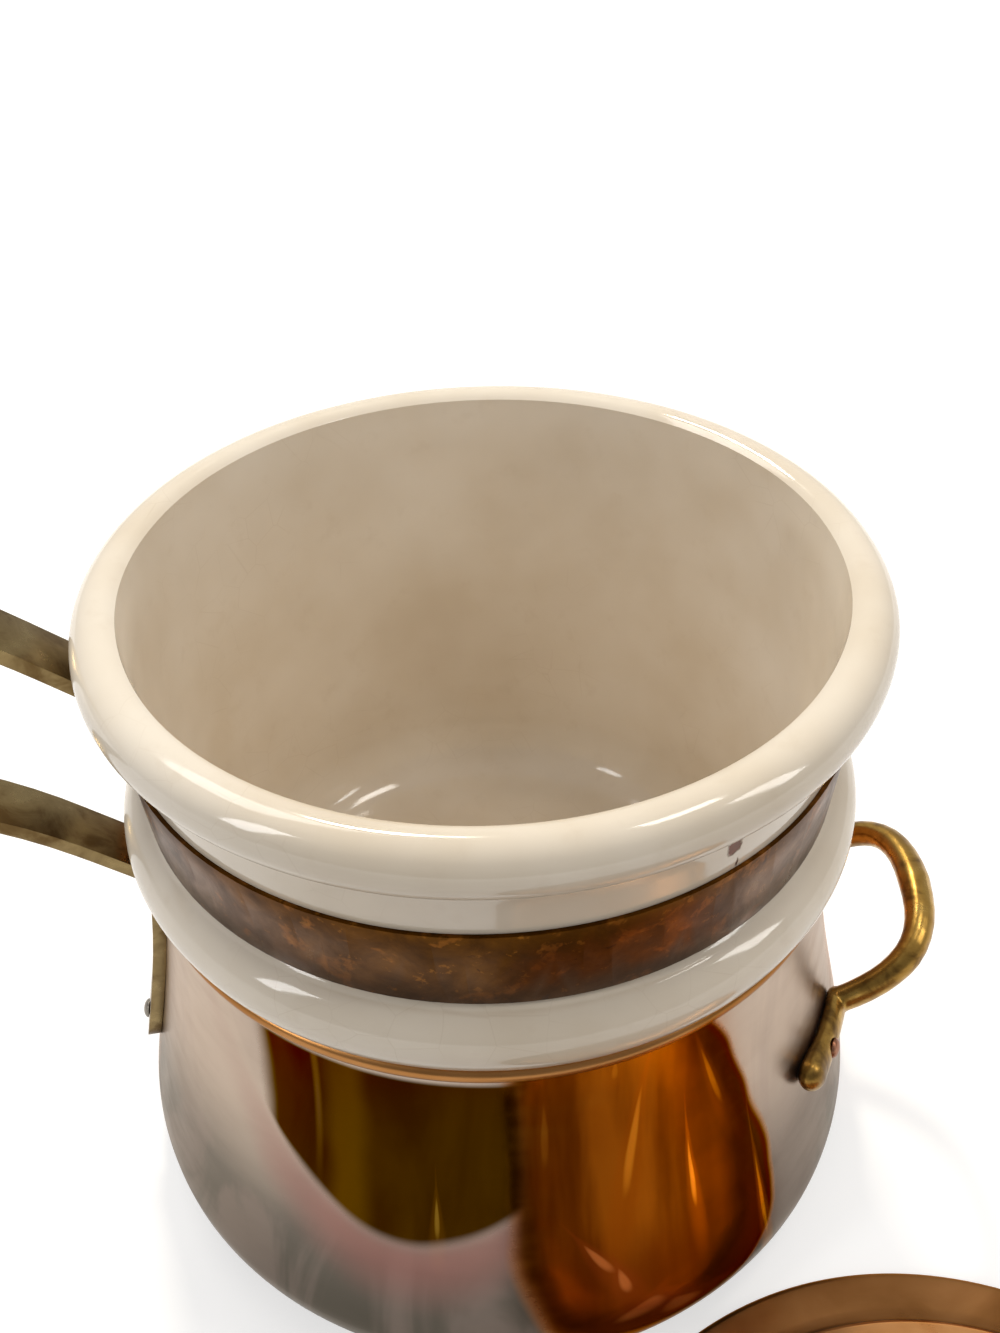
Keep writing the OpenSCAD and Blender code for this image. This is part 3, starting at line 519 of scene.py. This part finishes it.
def polished_copper():
    """The pot's copper, with the reflections and highlights that the photograph shows in it painted
    round the pot.
    """
    p = Paint("polished_copper")
    clouds = p.noise(60, detail=3, bend=0.6)
    streaks = p.noise(26, detail=4, bend=0.8, stretch=(1, 1, 0.25))
    wander = p.product(p.math("SUBTRACT", p.noise(26, detail=1), 0.5), 4)
    around = p.math("ADD", p.azimuth(), wander)
    up = p.math("ADD", p.height(), wander)
    # Masks of the painted dark reflection and of the lid's painted reflection
    dark_reflection, over_edge, left_of_end = dark_reflection_places(p, around, up)
    lid_reflection, past_right = lid_reflection_places(p, around, up)

    # A pale greyish painted reflection of the floor covers the rest of the front, and only the foot
    # of the back
    front = p.steps(p.facing(FRONT), -0.15, 0.3)
    low = p.steps(p.math("ADD", up, p.product(clouds, 40)), 38, 66, 0.75, 0.12)
    pale_reflection = p.product(p.math("SUBTRACT", 1, lid_reflection), p.math("MAXIMUM", front, low))
    pale = p.ramp(p.steps(up, 14, 74), PALE_REFLECTION)
    pale = p.blend(p.steps(streaks, 0.45, 0.6, 0, 0.35), pale, PALE_REFLECTION_STREAK)
    tone = p.blend(pale_reflection, p.ramp(streaks, CLEAN_COPPER), pale)
    # A pink haze of painted reflection follows the painted dark reflection's lower edge and is
    # strongest low down
    haze = p.product(
        p.steps(over_edge, -24, -5), p.steps(over_edge, -4, 4, 1, 0), left_of_end,
        p.steps(up, 44, 84, 0.62, 0.10), front,
    )
    tone = p.blend(haze, tone, PINK_REFLECTION_HAZE)
    # Paints the dark reflection, then the lid's reflection over it
    tone = p.blend(dark_reflection, tone, dark_reflection_tone(p, streaks, around, up))
    tone = p.blend(lid_reflection, tone, lid_reflection_tone(p, up, past_right))
    # Painted highlights
    tone = paint_highlights(p, tone, FLAME_HIGHLIGHTS, FLAME_CORE, FLAME_HALO, wander)
    tone = paint_highlights(p, tone, PINK_HIGHLIGHTS, PINK_CORE, PINK_HALO, wander)
    rim = p.steps(p.height(), *RIM_STARTS)
    tone = p.blend(rim, tone, p.ramp(clouds, WORN_RIM))

    fine = p.spun(0.25)
    smears = p.noise(14, detail=5, stretch=(1, 1, 3))
    dull = p.product(pale_reflection, p.math("SUBTRACT", 1, dark_reflection))
    rough = p.math("ADD", p.steps(smears, 0.35, 0.75, 0.06, 0.14), p.product(fine, 0.05))
    rough = p.math("ADD", rough, p.math("MAXIMUM", p.product(dull, 0.2), p.product(rim, 0.16)))
    rough = p.math("ADD", rough, p.product(lid_reflection, 0.08))
    normal = p.bumps(p.noise(26, detail=1, bend=0.3), 0.3)
    normal = p.bumps(fine, 0.003, normal)
    # Seen edge-on, the clean copper stays brown and the copper under the painted pale reflection
    # goes pale
    tint = p.blend(dull, COPPER_EDGE_ON, PALE_REFLECTION_EDGE_ON)
    return p.set(Base_Color=tone, Metallic=1.0, Roughness=rough, Normal=normal, Specular_Tint=tint)


def tinned(name, centre=(0, 0)):
    """Wiped tin with spun lines round an axis."""
    p = Paint(name)
    wide = p.spun(2.2, centre, seed=3)
    fine = p.spun(0.35, centre, seed=7)
    blots = p.noise(16, detail=6, rough=0.6)
    tone = p.ramp(p.math("ADD", p.product(blots, 0.6), p.product(wide, 0.4)), WIPED_TIN)
    # The wall above the floor is browner from steam
    brown = p.steps(p.height(), 6, 40)
    tone = p.blend(p.product(brown, 0.7), tone, STEAM_BROWN)
    rough = p.math("ADD", p.steps(blots, 0.3, 0.7, 0.2, 0.34), p.product(fine, 0.08))
    normal = p.bumps(fine, 0.012, p.bumps(wide, 0.03))
    return p.set(Base_Color=tone, Metallic=1.0, Roughness=rough, Normal=normal)


def brass(name, grain, dark, middle, light):
    """Aged brass in three tones, whose scratches are stretched by grain."""
    p = Paint(name)
    blots = p.noise(9, detail=6, rough=0.6, bend=0.4)
    patches = p.noise(30, detail=2)
    scratches = p.noise(1.1, detail=3, stretch=grain)
    tone = p.ramp(blots, ((0.32, dark), (0.52, middle), (0.72, light)))
    brown = p.steps(p.math("ADD", blots, p.product(patches, 0.6)), 0.62, 0.8, 1, 0)
    tone = p.blend(p.product(brown, 0.7), tone, BRASS_BROWN)
    rough = p.math("ADD", p.steps(blots, 0.3, 0.75, 0.34, 0.2), p.product(scratches, 0.08))
    normal = p.bumps(scratches, 0.012, p.bumps(blots, 0.05))
    return p.set(Base_Color=tone, Metallic=1.0, Roughness=rough, Normal=normal)


def tarnished_copper():
    """The strap's brown copper with orange and dark spots."""
    p = Paint("tarnished_copper")
    blots = p.noise(11, detail=6, rough=0.62, bend=0.5)
    specks = p.noise(3.2, detail=5, rough=0.7)
    islands = p.noise(16, detail=3, bend=1.5)
    tone = p.ramp(blots, TARNISH)
    orange = p.product(p.steps(islands, 0.55, 0.6), p.steps(specks, 0.42, 0.56))
    tone = p.blend(p.product(orange, 0.6), tone, TARNISH_ORANGE)
    dots = p.product(p.steps(specks, 0.60, 0.66), 0.5)
    tone = p.blend(dots, tone, TARNISH_DOTS)
    dark = p.steps(p.noise(7, detail=3, bend=2), 0.67, 0.72)
    tone = p.blend(p.product(dark, 0.7), tone, TARNISH_DARK)
    rough = p.steps(blots, 0.3, 0.75, 0.42, 0.26)
    normal = p.bumps(p.noise(20, detail=1), 0.25, p.bumps(specks, 0.03))
    return p.set(Base_Color=tone, Metallic=1.0, Roughness=rough, Normal=normal)


def satin_copper(centre, edge):
    """Softly brushed copper, darker on the flange outside the radius edge."""
    p = Paint("satin_copper")
    fine = p.spun(0.3, centre, seed=2)
    wide = p.spun(3, centre, seed=5)
    clouds = p.noise(24, detail=5, bend=0.5)
    flange = p.steps(p.radius(centre), edge - 0.8, edge + 0.2)
    tone = p.blend(flange, p.ramp(clouds, SATIN), p.ramp(clouds, FLANGE_DARK))
    tone = p.blend(p.product(wide, 0.2), tone, LID_BROWN)
    rough = p.math("ADD", p.steps(clouds, 0.3, 0.7, 0.22, 0.34), p.product(fine, 0.1))
    return p.set(
        Base_Color=tone, Metallic=1.0, Roughness=rough, Normal=p.bumps(fine, 0.008),
        Specular_Tint=colour(*LID_EDGE_ON),
    )


def dull_metal(name, dark, light):
    """Hammered rivet and screw metal."""
    p = Paint(name)
    blots = p.noise(2.2, detail=4)
    return p.set(
        Base_Color=p.ramp(blots, ((0.35, dark), (0.65, light))), Metallic=1.0,
        Roughness=p.steps(blots, 0.3, 0.7, 0.3, 0.45), Normal=p.bumps(p.noise(1.4, detail=2), 0.08),
    )


# Chips and specks in the glaze: azimuth in degrees, height over the bead's middle, half their
# width and half their height in millimetres
CHIPS = (
    (-65.3, 36.6, 2.0, 2.9), (-59.6, 38.2, 1.5, 1.7), (-68.5, 40.6, 0.7, 0.7),
    (-76.5, 41.2, 0.55, 0.6), (-53.5, 37.6, 0.9, 1.9), (-64.2, 31.5, 0.45, 2.6),
    (-101.0, -16.4, 0.35, 0.35), (-94.4, -16.5, 0.3, 0.3), (-85.4, -17.3, 0.35, 0.35),
    (71.0, 34.0, 1.2, 1.5), (128.0, -24.0, 0.35, 0.35),
)
GLAZE_IOR = 1.52


def glaze(seat_z, wall_r):
    """Ivory gloss glaze with fine cracks, and with chips on the wall of radius wall_r."""
    p = Paint("ivory_glaze")
    mottle = p.noise(7, detail=5, rough=0.6)
    tone = p.ramp(p.noise(45, detail=3), IVORY)
    tone = p.blend(p.product(p.steps(mottle, 0.55, 0.75), 0.14), tone, GLAZE_MOTTLE)
    craze = p.steps(p.from_cracks(9), 0.0, 0.018, 1, 0)
    craze = p.product(craze, p.steps(p.noise(30, detail=2), 0.5, 0.66, 0, 0.14))
    tone = p.blend(craze, tone, GLAZE_CRACKS)
    ragged = p.product(p.math("SUBTRACT", p.noise(1.6, detail=4), 0.5), 0.9)
    pits = 0
    for azimuth, up, wide, tall in CHIPS:
        a = math.radians(azimuth)
        centre = Vector((wall_r * math.cos(a), wall_r * math.sin(a), seat_z + up)) * MM
        away = p.vector("SUBTRACT", p.place, centre)
        away = p.vector("MULTIPLY", away, (1 / (wide * MM), 1 / (wide * MM), 1 / (tall * MM)))
        inside = p.steps(p.math("ADD", p.vector("LENGTH", away), ragged), 0.75, 1.05, 1, 0)
        pits = p.math("MAXIMUM", pits, inside)
    tone = p.blend(pits, tone, p.ramp(mottle, BARE_CLAY))
    rough = p.math("ADD", p.steps(mottle, 0.3, 0.8, 0.06, 0.12), p.product(pits, 0.4))
    normal = p.bumps(p.noise(22, detail=1), 0.30)
    normal = p.bumps(p.noise(2.5, detail=2), 0.006, normal)
    normal = p.bumps(p.product(pits, -1.0), 0.35, normal)
    return p.set(Base_Color=tone, Roughness=rough, Normal=normal, IOR=GLAZE_IOR)


# The pot, with sizes in millimetres

pot_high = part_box("pot_shell")[1] / MM
CURL_R = 1.75
CURL_END = -75
POT_WALL = 1.2
TIN = 0.3
BASE = 1.8
CORNER_R = 17
BASE_FLAT = 30
NECK_R = 77.9
BELLY_PULL = 8
NECK_PULL = 27.5
NECK_STRAIGHT = 4
BELLY_R = pot_high.x
BASE_R = BELLY_R - CORNER_R
RIM_Z = pot_high.z - CURL_R
# The spun rings of the floor: a flat disc, a groove round it and a low step further out
FLOOR_DISC_R = 32
GROOVE = 0.9
GROOVE_FLOOR = 0.3
FLOOR_STEP_R = 58
FLOOR_RELIEF = 0.5
# No dents this near to the base and to the rim
BASE_CLEAR = 1
RIM_CLEAR = 6
# The tin reaches a little into the copper, so that no gap shows
TIN_OVERLAP = 0.02


def pot_wall(inset, steps=40):
    """The flared wall's line, moved inward by inset, from the corner up to the rim."""
    curve = [
        (BELLY_R - inset, CORNER_R), (BELLY_R - inset, CORNER_R + BELLY_PULL),
        (NECK_R - inset, RIM_Z - NECK_STRAIGHT - NECK_PULL),
        (NECK_R - inset, RIM_Z - NECK_STRAIGHT),
    ]
    return [cubic(curve, i / steps) for i in range(steps + 1)]


def pot_inside(inset):
    """The wall's inner side from the rim down to the middle of the floor."""
    floor = BASE + inset - POT_WALL
    disc, step = (FLOOR_DISC_R, floor), (FLOOR_STEP_R, floor)
    corner = arc(
        (BASE_R, CORNER_R), CORNER_R - inset, CORNER_R - floor - FLOOR_RELIEF, 0, -90, 16,
    )
    return (
        [(NECK_R - inset, RIM_Z)] + pot_wall(inset)[::-1] + corner[1:]
        + near(step, (2.0, FLOOR_RELIEF), (1.2, 0.85 * FLOOR_RELIEF), (0, 0.2 * FLOOR_RELIEF))
        + near(step, (-0.8, 0))
        + line((FLOOR_STEP_R - 1.2, floor), (FLOOR_DISC_R + GROOVE + 0.5, floor), 6)
        + near(disc, (GROOVE + 0.5, 0), (GROOVE, 0), (GROOVE_FLOOR, -FLOOR_RELIEF / 3))
        + near(disc, (-GROOVE_FLOOR, -FLOOR_RELIEF / 3), (-GROOVE, 0))
        + line((FLOOR_DISC_R - GROOVE - 0.5, floor), (0, floor), 6) + [(0, floor)]
    )


def dented(depth, size, seed):
    """A warp that moves points in and out by a slow noise."""
    def warp(r, z, a):
        if r < 1:
            return r, z
        at = Vector((r * math.cos(a), r * math.sin(a), z)) / size + Vector((seed, seed, seed))
        return r + depth * noise.noise(at), z
    return warp


def pot_shell():
    """The pot's copper: its rim is curled outward, its wall dented where nothing touches it."""
    curl = (NECK_R - POT_WALL + CURL_R, RIM_Z)
    tuck = max(CURL_R - POT_WALL, 0.4 * CURL_R)
    start = 180 + math.degrees(math.acos((curl[0] - NECK_R) / tuck))
    outside = (
        [(0, 0)] + line((BASE_R - BASE_FLAT, 0), (BASE_R, 0), 3)
        + arc((BASE_R, CORNER_R), CORNER_R, CORNER_R, -90, 0, 20)[:-1]
        + pot_wall(0) + arc(curl, tuck, tuck, start, CURL_END, 12)
        + arc(curl, CURL_R, CURL_R, CURL_END, 179, 28)
    )
    skin = set(outside)
    slow = dented(depth=0.22, size=30, seed=4)

    def warp(r, z, a):
        fixed = (r, z) not in skin or z < BASE_CLEAR or z > RIM_Z - RIM_CLEAR
        return (r, z) if fixed else slow(r, z, a)

    return revolve("pot_shell_skin", outside + pot_inside(POT_WALL), warp=warp)


def pot_lining():
    """The tin on the pot's inside."""
    outline = pot_inside(POT_WALL + TIN) + pot_inside(POT_WALL - TIN_OVERLAP)[::-1]
    return revolve("pot_tin_skin", outline)


def dress_rounded(node, name, edge, segments, body, slot, material):
    """Dresses a node's own shape, its edges rounded to a width in millimetres."""
    dress(softened(node, name, edge, segments), body, slot, material, node)


copper = polished_copper()
tin = tinned("wiped_tin")
steel = dull_metal("dark_steel", (0.16, 0.14, 0.12), (0.30, 0.27, 0.23))
rivets = dull_metal("dull_copper", (0.22, 0.09, 0.05), (0.40, 0.20, 0.12))
forged = brass(
    "forged_brass", (0.06, 1, 1), (0.15, 0.10, 0.040), (0.22, 0.155, 0.068), (0.30, 0.22, 0.10),
)
cast_brass = brass(
    "cast_brass", (0.6, 0.6, 0.6),
    (0.20, 0.105, 0.022), (0.36, 0.21, 0.048), (0.50, 0.315, 0.085),
)

dress(pot_shell(), "pot", "copper", copper, "pot_shell")
dress(pot_lining(), "pot", "tin", tin, "pot_tin_lining")
dress_rounded("pot_long_handle", "pot_bar", 1.0, 3, "pot", "brass", forged)
dress_rounded("pot_long_handle_rivets", "pot_bar_rivets", 0.3, 2, "pot", "dark_rivet", steel)
loop = cast("pot_loop_handle", "pot_loop", voxel=0.42, rounds=6, lumps=0.12)
dress(loop, "pot", "brass", cast_brass, "pot_loop_handle")
dress_rounded("pot_loop_handle_rivet", "pot_lug_rivet", 0.3, 2, "pot", "copper_rivet", rivets)


# The insert, with heights from its seat, the bead's middle

bowl_low, bowl_high = (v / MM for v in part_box("insert_bowl"))
BEAD_HALF = 8
RIM_HALF = 6
RIM_UP = 48
SEAT_Z = bowl_high.z - RIM_HALF - RIM_UP
FOOT_Z = bowl_low.z - SEAT_Z
RIM_R = bowl_high.x
RIM_REACH = 5.8
WALL_FLARE = 2.6
STEP_UNDER_BEAD = 1.4
BEAD_REACH = 8.4
FOOT_IN = 7.2
TOP_R = RIM_R - RIM_REACH
MID_R = TOP_R - WALL_FLARE
LOW_R = MID_R - STEP_UNDER_BEAD
BEAD_R = LOW_R + BEAD_REACH
FOOT_R = LOW_R - FOOT_IN
CHIPPED_R = MID_R + 1.5
FOOT_H = 4.5
FOOT_W = 6
FOOT_EDGE = 1.4
UNDER_FLAT_R = 30
GLAZE_WALL = 5
BOWL_CORNER = (9.4, 14)
BOWL_TAPER = 0.6
FLOOR_CORNER = 16


def insert_bowl():
    """The glazed bowl: outside from the middle of its underside to the rim, then its inside."""
    corner = (LOW_R - BOWL_TAPER - BOWL_CORNER[0], FOOT_Z + FOOT_H + BOWL_CORNER[1])
    foot_angle = -math.degrees(math.acos((FOOT_R - corner[0]) / BOWL_CORNER[0]))
    foot_in = FOOT_R - FOOT_W
    under = FOOT_Z + FOOT_H
    floor = under + GLAZE_WALL
    low_in = LOW_R - GLAZE_WALL
    top_in = TOP_R - GLAZE_WALL
    rim_low = RIM_UP - RIM_HALF
    outside = (
        [(0, under)] + line((UNDER_FLAT_R, under), (foot_in - 1, under), 3)
        + near((foot_in, under), (-0.8, -0.1), (-0.1, -0.7))
        + arc((foot_in + FOOT_EDGE, FOOT_Z + FOOT_EDGE), FOOT_EDGE, FOOT_EDGE, 180, 270, 6)
        + arc((FOOT_R - FOOT_EDGE, FOOT_Z + FOOT_EDGE), FOOT_EDGE, FOOT_EDGE, 270, 360, 6)
        + arc(corner, *BOWL_CORNER, foot_angle, 0, 22)
        + line((LOW_R - BOWL_TAPER, corner[1] + 3), (LOW_R - 0.15, -BEAD_HALF - 4), 8)
        + near((LOW_R, -BEAD_HALF), (-0.1, -2.2), (0.35, -0.6))
        + arc((LOW_R, 0), BEAD_R - LOW_R, BEAD_HALF, -80, 0, 18)
        + arc((MID_R, 0), BEAD_R - MID_R, BEAD_HALF, 0, 80, 18)[1:]
        + near((MID_R, BEAD_HALF), (0.3, 0.6), (0.08, 2.0))
        + line((MID_R + 0.2, BEAD_HALF + 4), (TOP_R, rim_low - 2.6), 8)
        + near((TOP_R, rim_low), (0.1, -1.2), (0.6, -0.25))
        + arc((RIM_R - RIM_HALF, RIM_UP), RIM_HALF, RIM_HALF, -72, 128, 36)
    )
    inside = (
        near((top_in, RIM_UP), (0.5, -0.5), (0.1, -3))
        + line((top_in, rim_low - 2), (low_in, corner[1] + 4), 24)
        + arc((low_in - FLOOR_CORNER, floor + FLOOR_CORNER), FLOOR_CORNER, FLOOR_CORNER, 0, -90, 16)
        + line((low_in - FLOOR_CORNER - 4, floor), (0, floor), 6) + [(0, floor)]
    )
    dents = dented(depth=0.14, size=34, seed=11)
    return revolve("insert_bowl_glazed", outside + inside, base_z=SEAT_Z, warp=dents)


old_copper = tarnished_copper()
dress(insert_bowl(), "insert", "glaze", glaze(SEAT_Z, CHIPPED_R), "insert_bowl")
dress_rounded("insert_strap", "insert_strap_band", 0.25, 2, "insert", "old_copper", old_copper)
dress_rounded("strap_screw", "insert_clamp_screw", 0.2, 2, "insert", "dark_rivet", steel)
dress_rounded("strap_nut", "insert_clamp_nut", 0.3, 2, "insert", "dark_rivet", steel)
dress_rounded("insert_handle", "insert_bar", 1.0, 3, "insert", "brass", forged)
dress_rounded("insert_handle_rivets", "insert_bar_rivets", 0.3, 2, "insert", "copper_rivet", rivets)


# The lid, with heights from the table

lid_low, lid_high = (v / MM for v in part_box("lid_shell"))
LID_AT = ((lid_low.x + lid_high.x) / 2, (lid_low.y + lid_high.y) / 2)
LID_R = (lid_high.x - lid_low.x) / 2
LID_T = 1
LIP_H = 5
LIP_EDGE = 0.15
LIP_STRAIGHT = 1.5
FLANGE_W = 12
FLANGE_FALL = 0.5
FLANGE_IN_R = LID_R - FLANGE_W
LID_STEP = 3
SHOULDER_R = 1.6
STEP_EDGE = 1.6
LID_FLAT_R = 13
LINING_UP = 0.8
CROWN_FOOT = (FLANGE_IN_R - 1.8, LIP_H + FLANGE_FALL + LID_STEP)
CROWN_H = lid_high.z - CROWN_FOOT[1]
CROWN_STEPS = 24


def lid_line(drop):
    """The lid's upper side from the shoulder to the knob, or the line that lies drop below it."""
    shoulder_at = (LID_R - SHOULDER_R, LIP_H - SHOULDER_R)
    shoulder = arc(shoulder_at, SHOULDER_R - drop, SHOULDER_R - drop, 0, 90, 8)
    flange_z = LIP_H + FLANGE_FALL - drop
    flange = line(
        (LID_R - SHOULDER_R, LIP_H - drop), (FLANGE_IN_R + STEP_EDGE + drop, flange_z), 5,
    )
    step = near((FLANGE_IN_R + drop, flange_z), (0.9, 0), (0.2, 0.3))
    step += near((FLANGE_IN_R + 0.4 * drop, CROWN_FOOT[1] - drop), (-1.2, -0.6))
    # Where the line leans, it also moves inward by a share of the drop
    crown = []
    for i in range(CROWN_STEPS + 1):
        u = 1 - i / CROWN_STEPS
        crown.append((
            LID_FLAT_R + (CROWN_FOOT[0] - LID_FLAT_R - 0.6 * drop) * u,
            CROWN_FOOT[1] + CROWN_H * (1 - u * u) - drop,
        ))
    return shoulder + flange[1:] + step + crown


def lid_shell():
    """The lid's copper, down to the foot of its lip."""
    outline = (
        [(LID_R, LIP_EDGE), (LID_R, LIP_STRAIGHT)] + lid_line(0)
        + [(0, lid_high.z), (0, lid_high.z - LID_T)] + lid_line(LID_T)[::-1]
        + [(LID_R - LID_T, LIP_EDGE), (LID_R - LID_T / 2, 0)]
    )
    return revolve("lid_copper", outline, centre=LID_AT)


def lid_lining():
    """The tin on the lid's inside, which ends a little above the lip's foot."""
    top = lid_high.z - LID_T
    outline = (
        [(LID_R - LID_T, LINING_UP)] + lid_line(LID_T) + [(0, top), (0, top - TIN)]
        + lid_line(LID_T + TIN)[::-1] + [(LID_R - LID_T - TIN, LINING_UP)]
    )
    return revolve("lid_tin", outline, centre=LID_AT)


dress(lid_shell(), "lid", "copper", satin_copper(LID_AT, FLANGE_IN_R), "lid_shell")
dress(lid_lining(), "lid", "tin", tinned("lid_wiped_tin", LID_AT), "lid_tin_lining")
dress_rounded("lid_knob", "lid_knob_turned", 0.3, 2, "lid", "brass", cast_brass)
dress_rounded("lid_knob_screw", "lid_screw", 0.2, 2, "lid", "dark_rivet", steel)
dress_rounded("lid_knob_washer", "lid_washer", 0.15, 2, "lid", "brass", cast_brass)


# Floor, light and camera

# The floor's side in metres. Its glow rises between two radii in millimetres, from near to far.
FLOOR_SIZE = 6
GLOW_RADII = (450, 1700)
GLOW_STRENGTHS = (0.54, 0.96)
# The world's light rises between two directions, from the front to the back
WORLD_FROM_TO = (-0.9, 0.1)
WORLD_STRENGTHS = (0.30, 0.62)
# Lamps: name, place, aim and size in metres, watts, colour
LAMPS = (
    ("window_right", (0.85, -0.35, 0.75), (0, 0, 0.08), (0.16, 0.5), 2.1, (1, 0.97, 0.92)),
    ("window_left", (-0.8, -0.3, 0.7), (0, 0, 0.08), (0.14, 0.5), 1.8, (1, 1, 1)),
    ("ceiling", (-0.35, 0.5, 1.05), (0, 0, 0.1), (0.5, 0.3), 2.2, (1, 0.98, 0.95)),
    ("skylight", (-0.01, 0.74, 1.02), (0, 0, 0), (0.13, 0.09), 6.0, (1, 0.94, 0.80)),
    ("lid_light", (0.36, -0.01, 0.95), (0.06, -0.17, 0), (0.16, 0.16), 1.0, (1, 0.95, 0.88)),
)
# The camera stands where the photograph's stood, found from the pot's rim, belly and floor rings
CAMERA_AT = (-31.81, -220.09, 314.69)
LOOK = (0.1223, 0.7724, -0.6233)
ROLL = -0.028
FOCAL_PIXELS = 1300
PHOTO_HEIGHT = 1333
SENSOR = 36
CLIP = (0.01, 20)


def pale_floor():
    """A pale floor that shows white to camera, mirror and glass, and keeps the object's shadow."""
    half = FLOOR_SIZE / 2
    mesh = bpy.data.meshes.new("floor")
    corners = [(-half, -half, 0), (half, -half, 0), (half, half, 0), (-half, half, 0)]
    mesh.from_pydata(corners, [], [(0, 1, 2, 3)])
    mesh.update()
    floor = new_object("floor", mesh)
    p = Paint("pale_floor")
    nodes = p.tree.nodes
    matt = nodes.new("ShaderNodeBsdfDiffuse")
    matt.inputs["Color"].default_value = colour(0.62, 0.61, 0.60)
    glow = nodes.new("ShaderNodeEmission")
    # Far from the object the floor glows up to white, so that its edge doesn't show
    p.put(glow.inputs["Strength"], p.steps(p.radius(), *GLOW_RADII, *GLOW_STRENGTHS))
    path = nodes.new("ShaderNodeLightPath")
    seen = p.math("MAXIMUM", path.outputs["Is Camera Ray"], path.outputs["Is Glossy Ray"])
    seen = p.math("MAXIMUM", seen, path.outputs["Is Transmission Ray"])
    both = nodes.new("ShaderNodeAddShader")
    p.put(both.inputs[0], matt.outputs[0])
    p.put(both.inputs[1], glow.outputs[0])
    mix = nodes.new("ShaderNodeMixShader")
    for socket, value in zip(mix.inputs, (seen, matt.outputs[0], both.outputs[0])):
        p.put(socket, value)
    p.put(nodes["Material Output"].inputs["Surface"], mix.outputs[0])
    nodes.remove(p.shader)
    mesh.materials.append(p.material)


def studio_world():
    """White to the camera. The light that falls on the object is dim in front, brighter behind."""
    world = bpy.data.worlds.new("studio")
    bpy.context.scene.world = world
    world.use_nodes = True
    tree = world.node_tree
    back = tree.nodes["Background"]
    place = tree.nodes.new("ShaderNodeTexCoord")
    split = tree.nodes.new("ShaderNodeSeparateXYZ")
    tree.links.new(place.outputs["Generated"], split.inputs[0])
    ramp = tree.nodes.new("ShaderNodeMapRange")
    ramp.interpolation_type = "SMOOTHSTEP"
    tree.links.new(split.outputs["Y"], ramp.inputs[0])
    for socket, value in zip(ramp.inputs.values()[1:5], WORLD_FROM_TO + WORLD_STRENGTHS):
        socket.default_value = value
    path = tree.nodes.new("ShaderNodeLightPath")
    strength = tree.nodes.new("ShaderNodeMix")
    tree.links.new(path.outputs["Is Camera Ray"], strength.inputs[0])
    tree.links.new(ramp.outputs[0], strength.inputs[2])
    strength.inputs[3].default_value = 1
    tree.links.new(strength.outputs[0], back.inputs["Strength"])
    back.inputs["Color"].default_value = colour(1, 1, 1)


def softbox(name, place, aim, size, watts, tint):
    """A rectangular lamp that looks from its place towards aim."""
    lamp = bpy.data.lights.new(name, "AREA")
    lamp.shape = "RECTANGLE"
    lamp.size, lamp.size_y = size
    lamp.energy = watts
    lamp.color = tint
    holder = bpy.data.objects.new(name, lamp)
    holder.location = place
    holder.rotation_euler = (Vector(aim) - Vector(place)).to_track_quat("-Z", "Y").to_euler()
    bpy.context.scene.collection.objects.link(holder)


def photo_camera():
    """The scene's camera, at the photograph's place and with its angle of view."""
    data = bpy.data.cameras.new("photo_camera")
    data.sensor_width = SENSOR
    data.lens = FOCAL_PIXELS / PHOTO_HEIGHT * SENSOR
    data.clip_start, data.clip_end = CLIP
    camera = bpy.data.objects.new("photo_camera", data)
    bpy.context.scene.collection.objects.link(camera)
    turn = Vector(LOOK).to_track_quat("-Z", "Y").to_matrix()
    turn = turn @ Matrix.Rotation(ROLL, 3, "Z")
    camera.matrix_world = Matrix.Translation(Vector(CAMERA_AT) * MM) @ turn.to_4x4()
    bpy.context.scene.camera = camera


pale_floor()
studio_world()
for lamp in LAMPS:
    softbox(*lamp)
photo_camera()

view = bpy.context.scene.view_settings
view.view_transform = "Standard"
